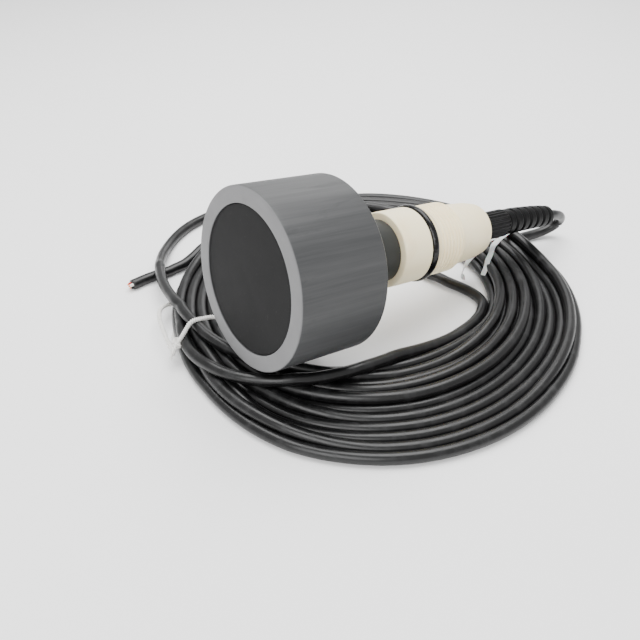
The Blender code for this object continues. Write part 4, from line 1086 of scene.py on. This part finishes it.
def strip(path, width, thickness, turn, closed):
    """Flat strip along a path: its section is a flattened oval whose wide side leans by `turn` radians from
    the coil's sideways direction."""
    ahead = (np.roll(path, -1, 0) - np.roll(path, 1, 0)) if closed else np.gradient(path, axis=0)
    ahead /= np.linalg.norm(ahead, axis=1)[:, None]
    way = np.radians(TIE_ANGLES["tie_right"])
    broad = np.array([-np.sin(way), np.cos(way), 0.0])
    broad = broad - (ahead @ broad)[:, None] * ahead
    broad /= np.linalg.norm(broad, axis=1)[:, None]
    thin = np.cross(ahead, broad)
    turn = np.broadcast_to(turn, len(path))[:, None]
    wide = np.cos(turn) * broad + np.sin(turn) * thin
    thin = np.cross(ahead, wide)
    angle = np.linspace(0, 2 * np.pi, 20, endpoint=False)
    across = np.sign(np.cos(angle)) * np.abs(np.cos(angle)) ** 0.6
    return (path[:, None] + width / 2 * across[None, :, None] * wide[:, None]
            + thickness / 2 * np.sin(angle)[None, :, None] * thin[:, None])


TAPE_WIDTH, TAPE_THICKNESS = 4.4 * MM, 0.7 * MM
tape_finish = make_tape_finish()
way_along = np.linspace(0, 2 * np.pi, len(right_loop), endpoint=False)
tape_loop = strip(right_loop, TAPE_WIDTH * (1 + 0.08 * np.sin(5 * way_along))[:, None, None] * 0.95,
                  TAPE_THICKNESS, 0.0, True)
tape_span = np.linspace(0, 0.3, len(right_loop) + 1)
tape_over = np.linspace(0, 0.011, 21)
tape_meshes = [grid_mesh("tape", tape_loop, measures=(tape_span, tape_over))]
slack = through([beside(112, 22.5, 174), beside(101, 23, 172), beside(90, 22, 169.5), beside(81, 18.5, 167.5),
                 beside(75.5, 12, 166), beside(75, 6, 166.5), beside(80, 1.3, 168.5)], 0.8 * MM)
t = np.linspace(0, 1, len(slack))
lean = 0.5 * np.sin(9 * t) + 0.5 * t
slack_rings = with_caps(strip(slack, TAPE_WIDTH, TAPE_THICKNESS, lean, False))
tape_meshes.append(grid_mesh("slack", slack_rings, around=False,
                             measures=(np.linspace(0, 0.09, len(slack_rings) + 1), tape_over)))
tape = join("tape_tie", tape_meshes, tape_finish)
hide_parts("tie_right")
print("tape tie has", len(tape.data.polygons), "faces")

# %% [markdown]
# What is inside the head and the neck doesn't show, but someone may cut the model open or take it apart.
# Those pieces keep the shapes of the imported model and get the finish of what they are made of.  Metals
# are brushed around the axis, ceramic is speckled, and the circuit board has its weave.

# %% Brushed metal and ceramic
def brushed(name, low, high, roughness):
    """Metal turned on a lathe: fine lines around the axis come from a noise squeezed along it."""
    made = Finish(name, Metallic=1.0)
    lines = made.noise(made.object_space(AXIS_TURN, (0.03, 0.03, 1)), 1800, 3, 0.6)
    cloud = made.noise(made.object_space(), 60, 3)
    made.set(Base_Color=made.blend(cloud, low, high), Roughness=roughness + 0.18 * lines)
    made.bump(lines, 0.00002)
    return made.material


inner_finishes = {
    "aluminium": brushed("aluminium", srgb(188, 190, 192), srgb(210, 212, 214), 0.28),
    "brass": brushed("brass", srgb(196, 160, 84), srgb(216, 182, 106), 0.25),
    "steel": brushed("steel", srgb(150, 152, 156), srgb(176, 178, 182), 0.26),
    "piezo_ceramic": plain_finish("piezo_ceramic", srgb(188, 176, 148), 0.55, worn=srgb(214, 204, 180)),
    "matching_resin": plain_finish("matching_resin", srgb(198, 192, 170), 0.5, worn=srgb(222, 216, 196),
                                   scale=900),
    "foam_dark": plain_finish("foam_dark", srgb(52, 52, 54), 0.9, scale=1400, depth=0.0004),
    "backing_rubber": plain_finish("backing_rubber", srgb(46, 44, 44), 0.75, scale=700),
    "thermistor_epoxy": plain_finish("thermistor_epoxy", srgb(36, 36, 52), 0.35),
    "transformer_tape": plain_finish("transformer_tape", srgb(196, 158, 52), 0.4, worn=srgb(222, 190, 92),
                                     stretch=(0.1, 1, 1)),
    "capacitor_sleeve": plain_finish("capacitor_sleeve", srgb(40, 66, 120), 0.35),
    "terminal_green": plain_finish("terminal_green", srgb(38, 120, 62), 0.45),
    "chip_epoxy": plain_finish("chip_epoxy", srgb(28, 28, 30), 0.55, scale=2000),
    "board_green": plain_finish("board_green", srgb(22, 84, 48), 0.4, worn=srgb(40, 112, 66), scale=1500,
                                stretch=(1, 0.2, 1)),
    "seal_rubber": rubber("seal_rubber", srgb(36, 34, 34), srgb(84, 82, 80), 0.5),
    "clamp_nylon": rubber("clamp_nylon", srgb(52, 52, 54), srgb(100, 100, 100), 0.42),
    "grey_pvc": grey_pvc, "dark_pvc": dark_pvc, "ivory_plastic": ivory, "black_rubber": black_rubber,
    "gland_nylon": nylon, "relief_rubber": relief_rubber, "cable_jacket": jacket,
    "dark_face": face.data.materials[0], "twine": ties_finish, "tape": tape_finish, **core_finishes,
}

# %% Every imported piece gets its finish
for node_name, node in nodes.items():
    for place_in in node.material_slots:
        slot_name = place_in.material.name.split(".")[0] if place_in.material else ""
        if slot_name not in inner_finishes:
            print("no finish for", node_name, slot_name)
        place_in.link = "OBJECT"
        place_in.material = inner_finishes.get(slot_name, dark_pvc)
print("finishes given to", len(nodes), "packed pieces")

# %% [markdown]
# The stage is a plain pale floor that the object lies on.  One large soft light overhead and a little
# behind makes the long highlights on the cable; a second one beside the camera fills the shadows.

# %% Floor and light
floor_mesh = bpy.data.meshes.new("floor")
half = 6.0
floor_mesh.from_pydata([(-half, -half, FLOOR), (half, -half, FLOOR), (half, half, FLOOR),
                        (-half, half, FLOOR)], [], [(0, 1, 2, 3)])
floor = bpy.data.objects.new("floor", floor_mesh)
bpy.context.scene.collection.objects.link(floor)
pale = Finish("pale_floor", Specular_IOR_Level=0.1)
cloud = pale.noise(pale.object_space(), 3, 2)
pale.set(Base_Color=pale.blend(cloud, srgb(247, 247, 247), srgb(250, 250, 250)), Roughness=0.8)
floor_mesh.materials.append(pale.material)


def soft_light(name, place_at, look_at, size, power):
    """Area light aimed at a point."""
    lamp = bpy.data.lights.new(name, "AREA")
    lamp.shape = "RECTANGLE"
    lamp.size, lamp.size_y = size
    lamp.energy = power
    made = bpy.data.objects.new(name, lamp)
    direction = Vector(look_at) - Vector(place_at)
    made.matrix_world = Matrix.Translation(place_at) @ direction.to_track_quat("-Z", "Y").to_matrix().to_4x4()
    bpy.context.scene.collection.objects.link(made)
    return made


target = (-0.12, -0.02, -0.03)
soft_light("overhead", (-0.25, -0.25, 1.1), target, (1.2, 1.0), 29.0)
soft_light("fill", (0.9, 0.7, 0.7), target, (0.9, 0.9), 16.0)
soft_light("back", (-1.0, -0.9, 0.5), target, (0.8, 0.6), 3.5)
world = bpy.data.worlds.new("studio")
world.use_nodes = True
world.node_tree.nodes["Background"].inputs["Color"].default_value = (1.0, 1.0, 1.0, 1.0)
world.node_tree.nodes["Background"].inputs["Strength"].default_value = 0.9
bpy.context.scene.world = world
print("floor at", round(FLOOR, 5), "m")
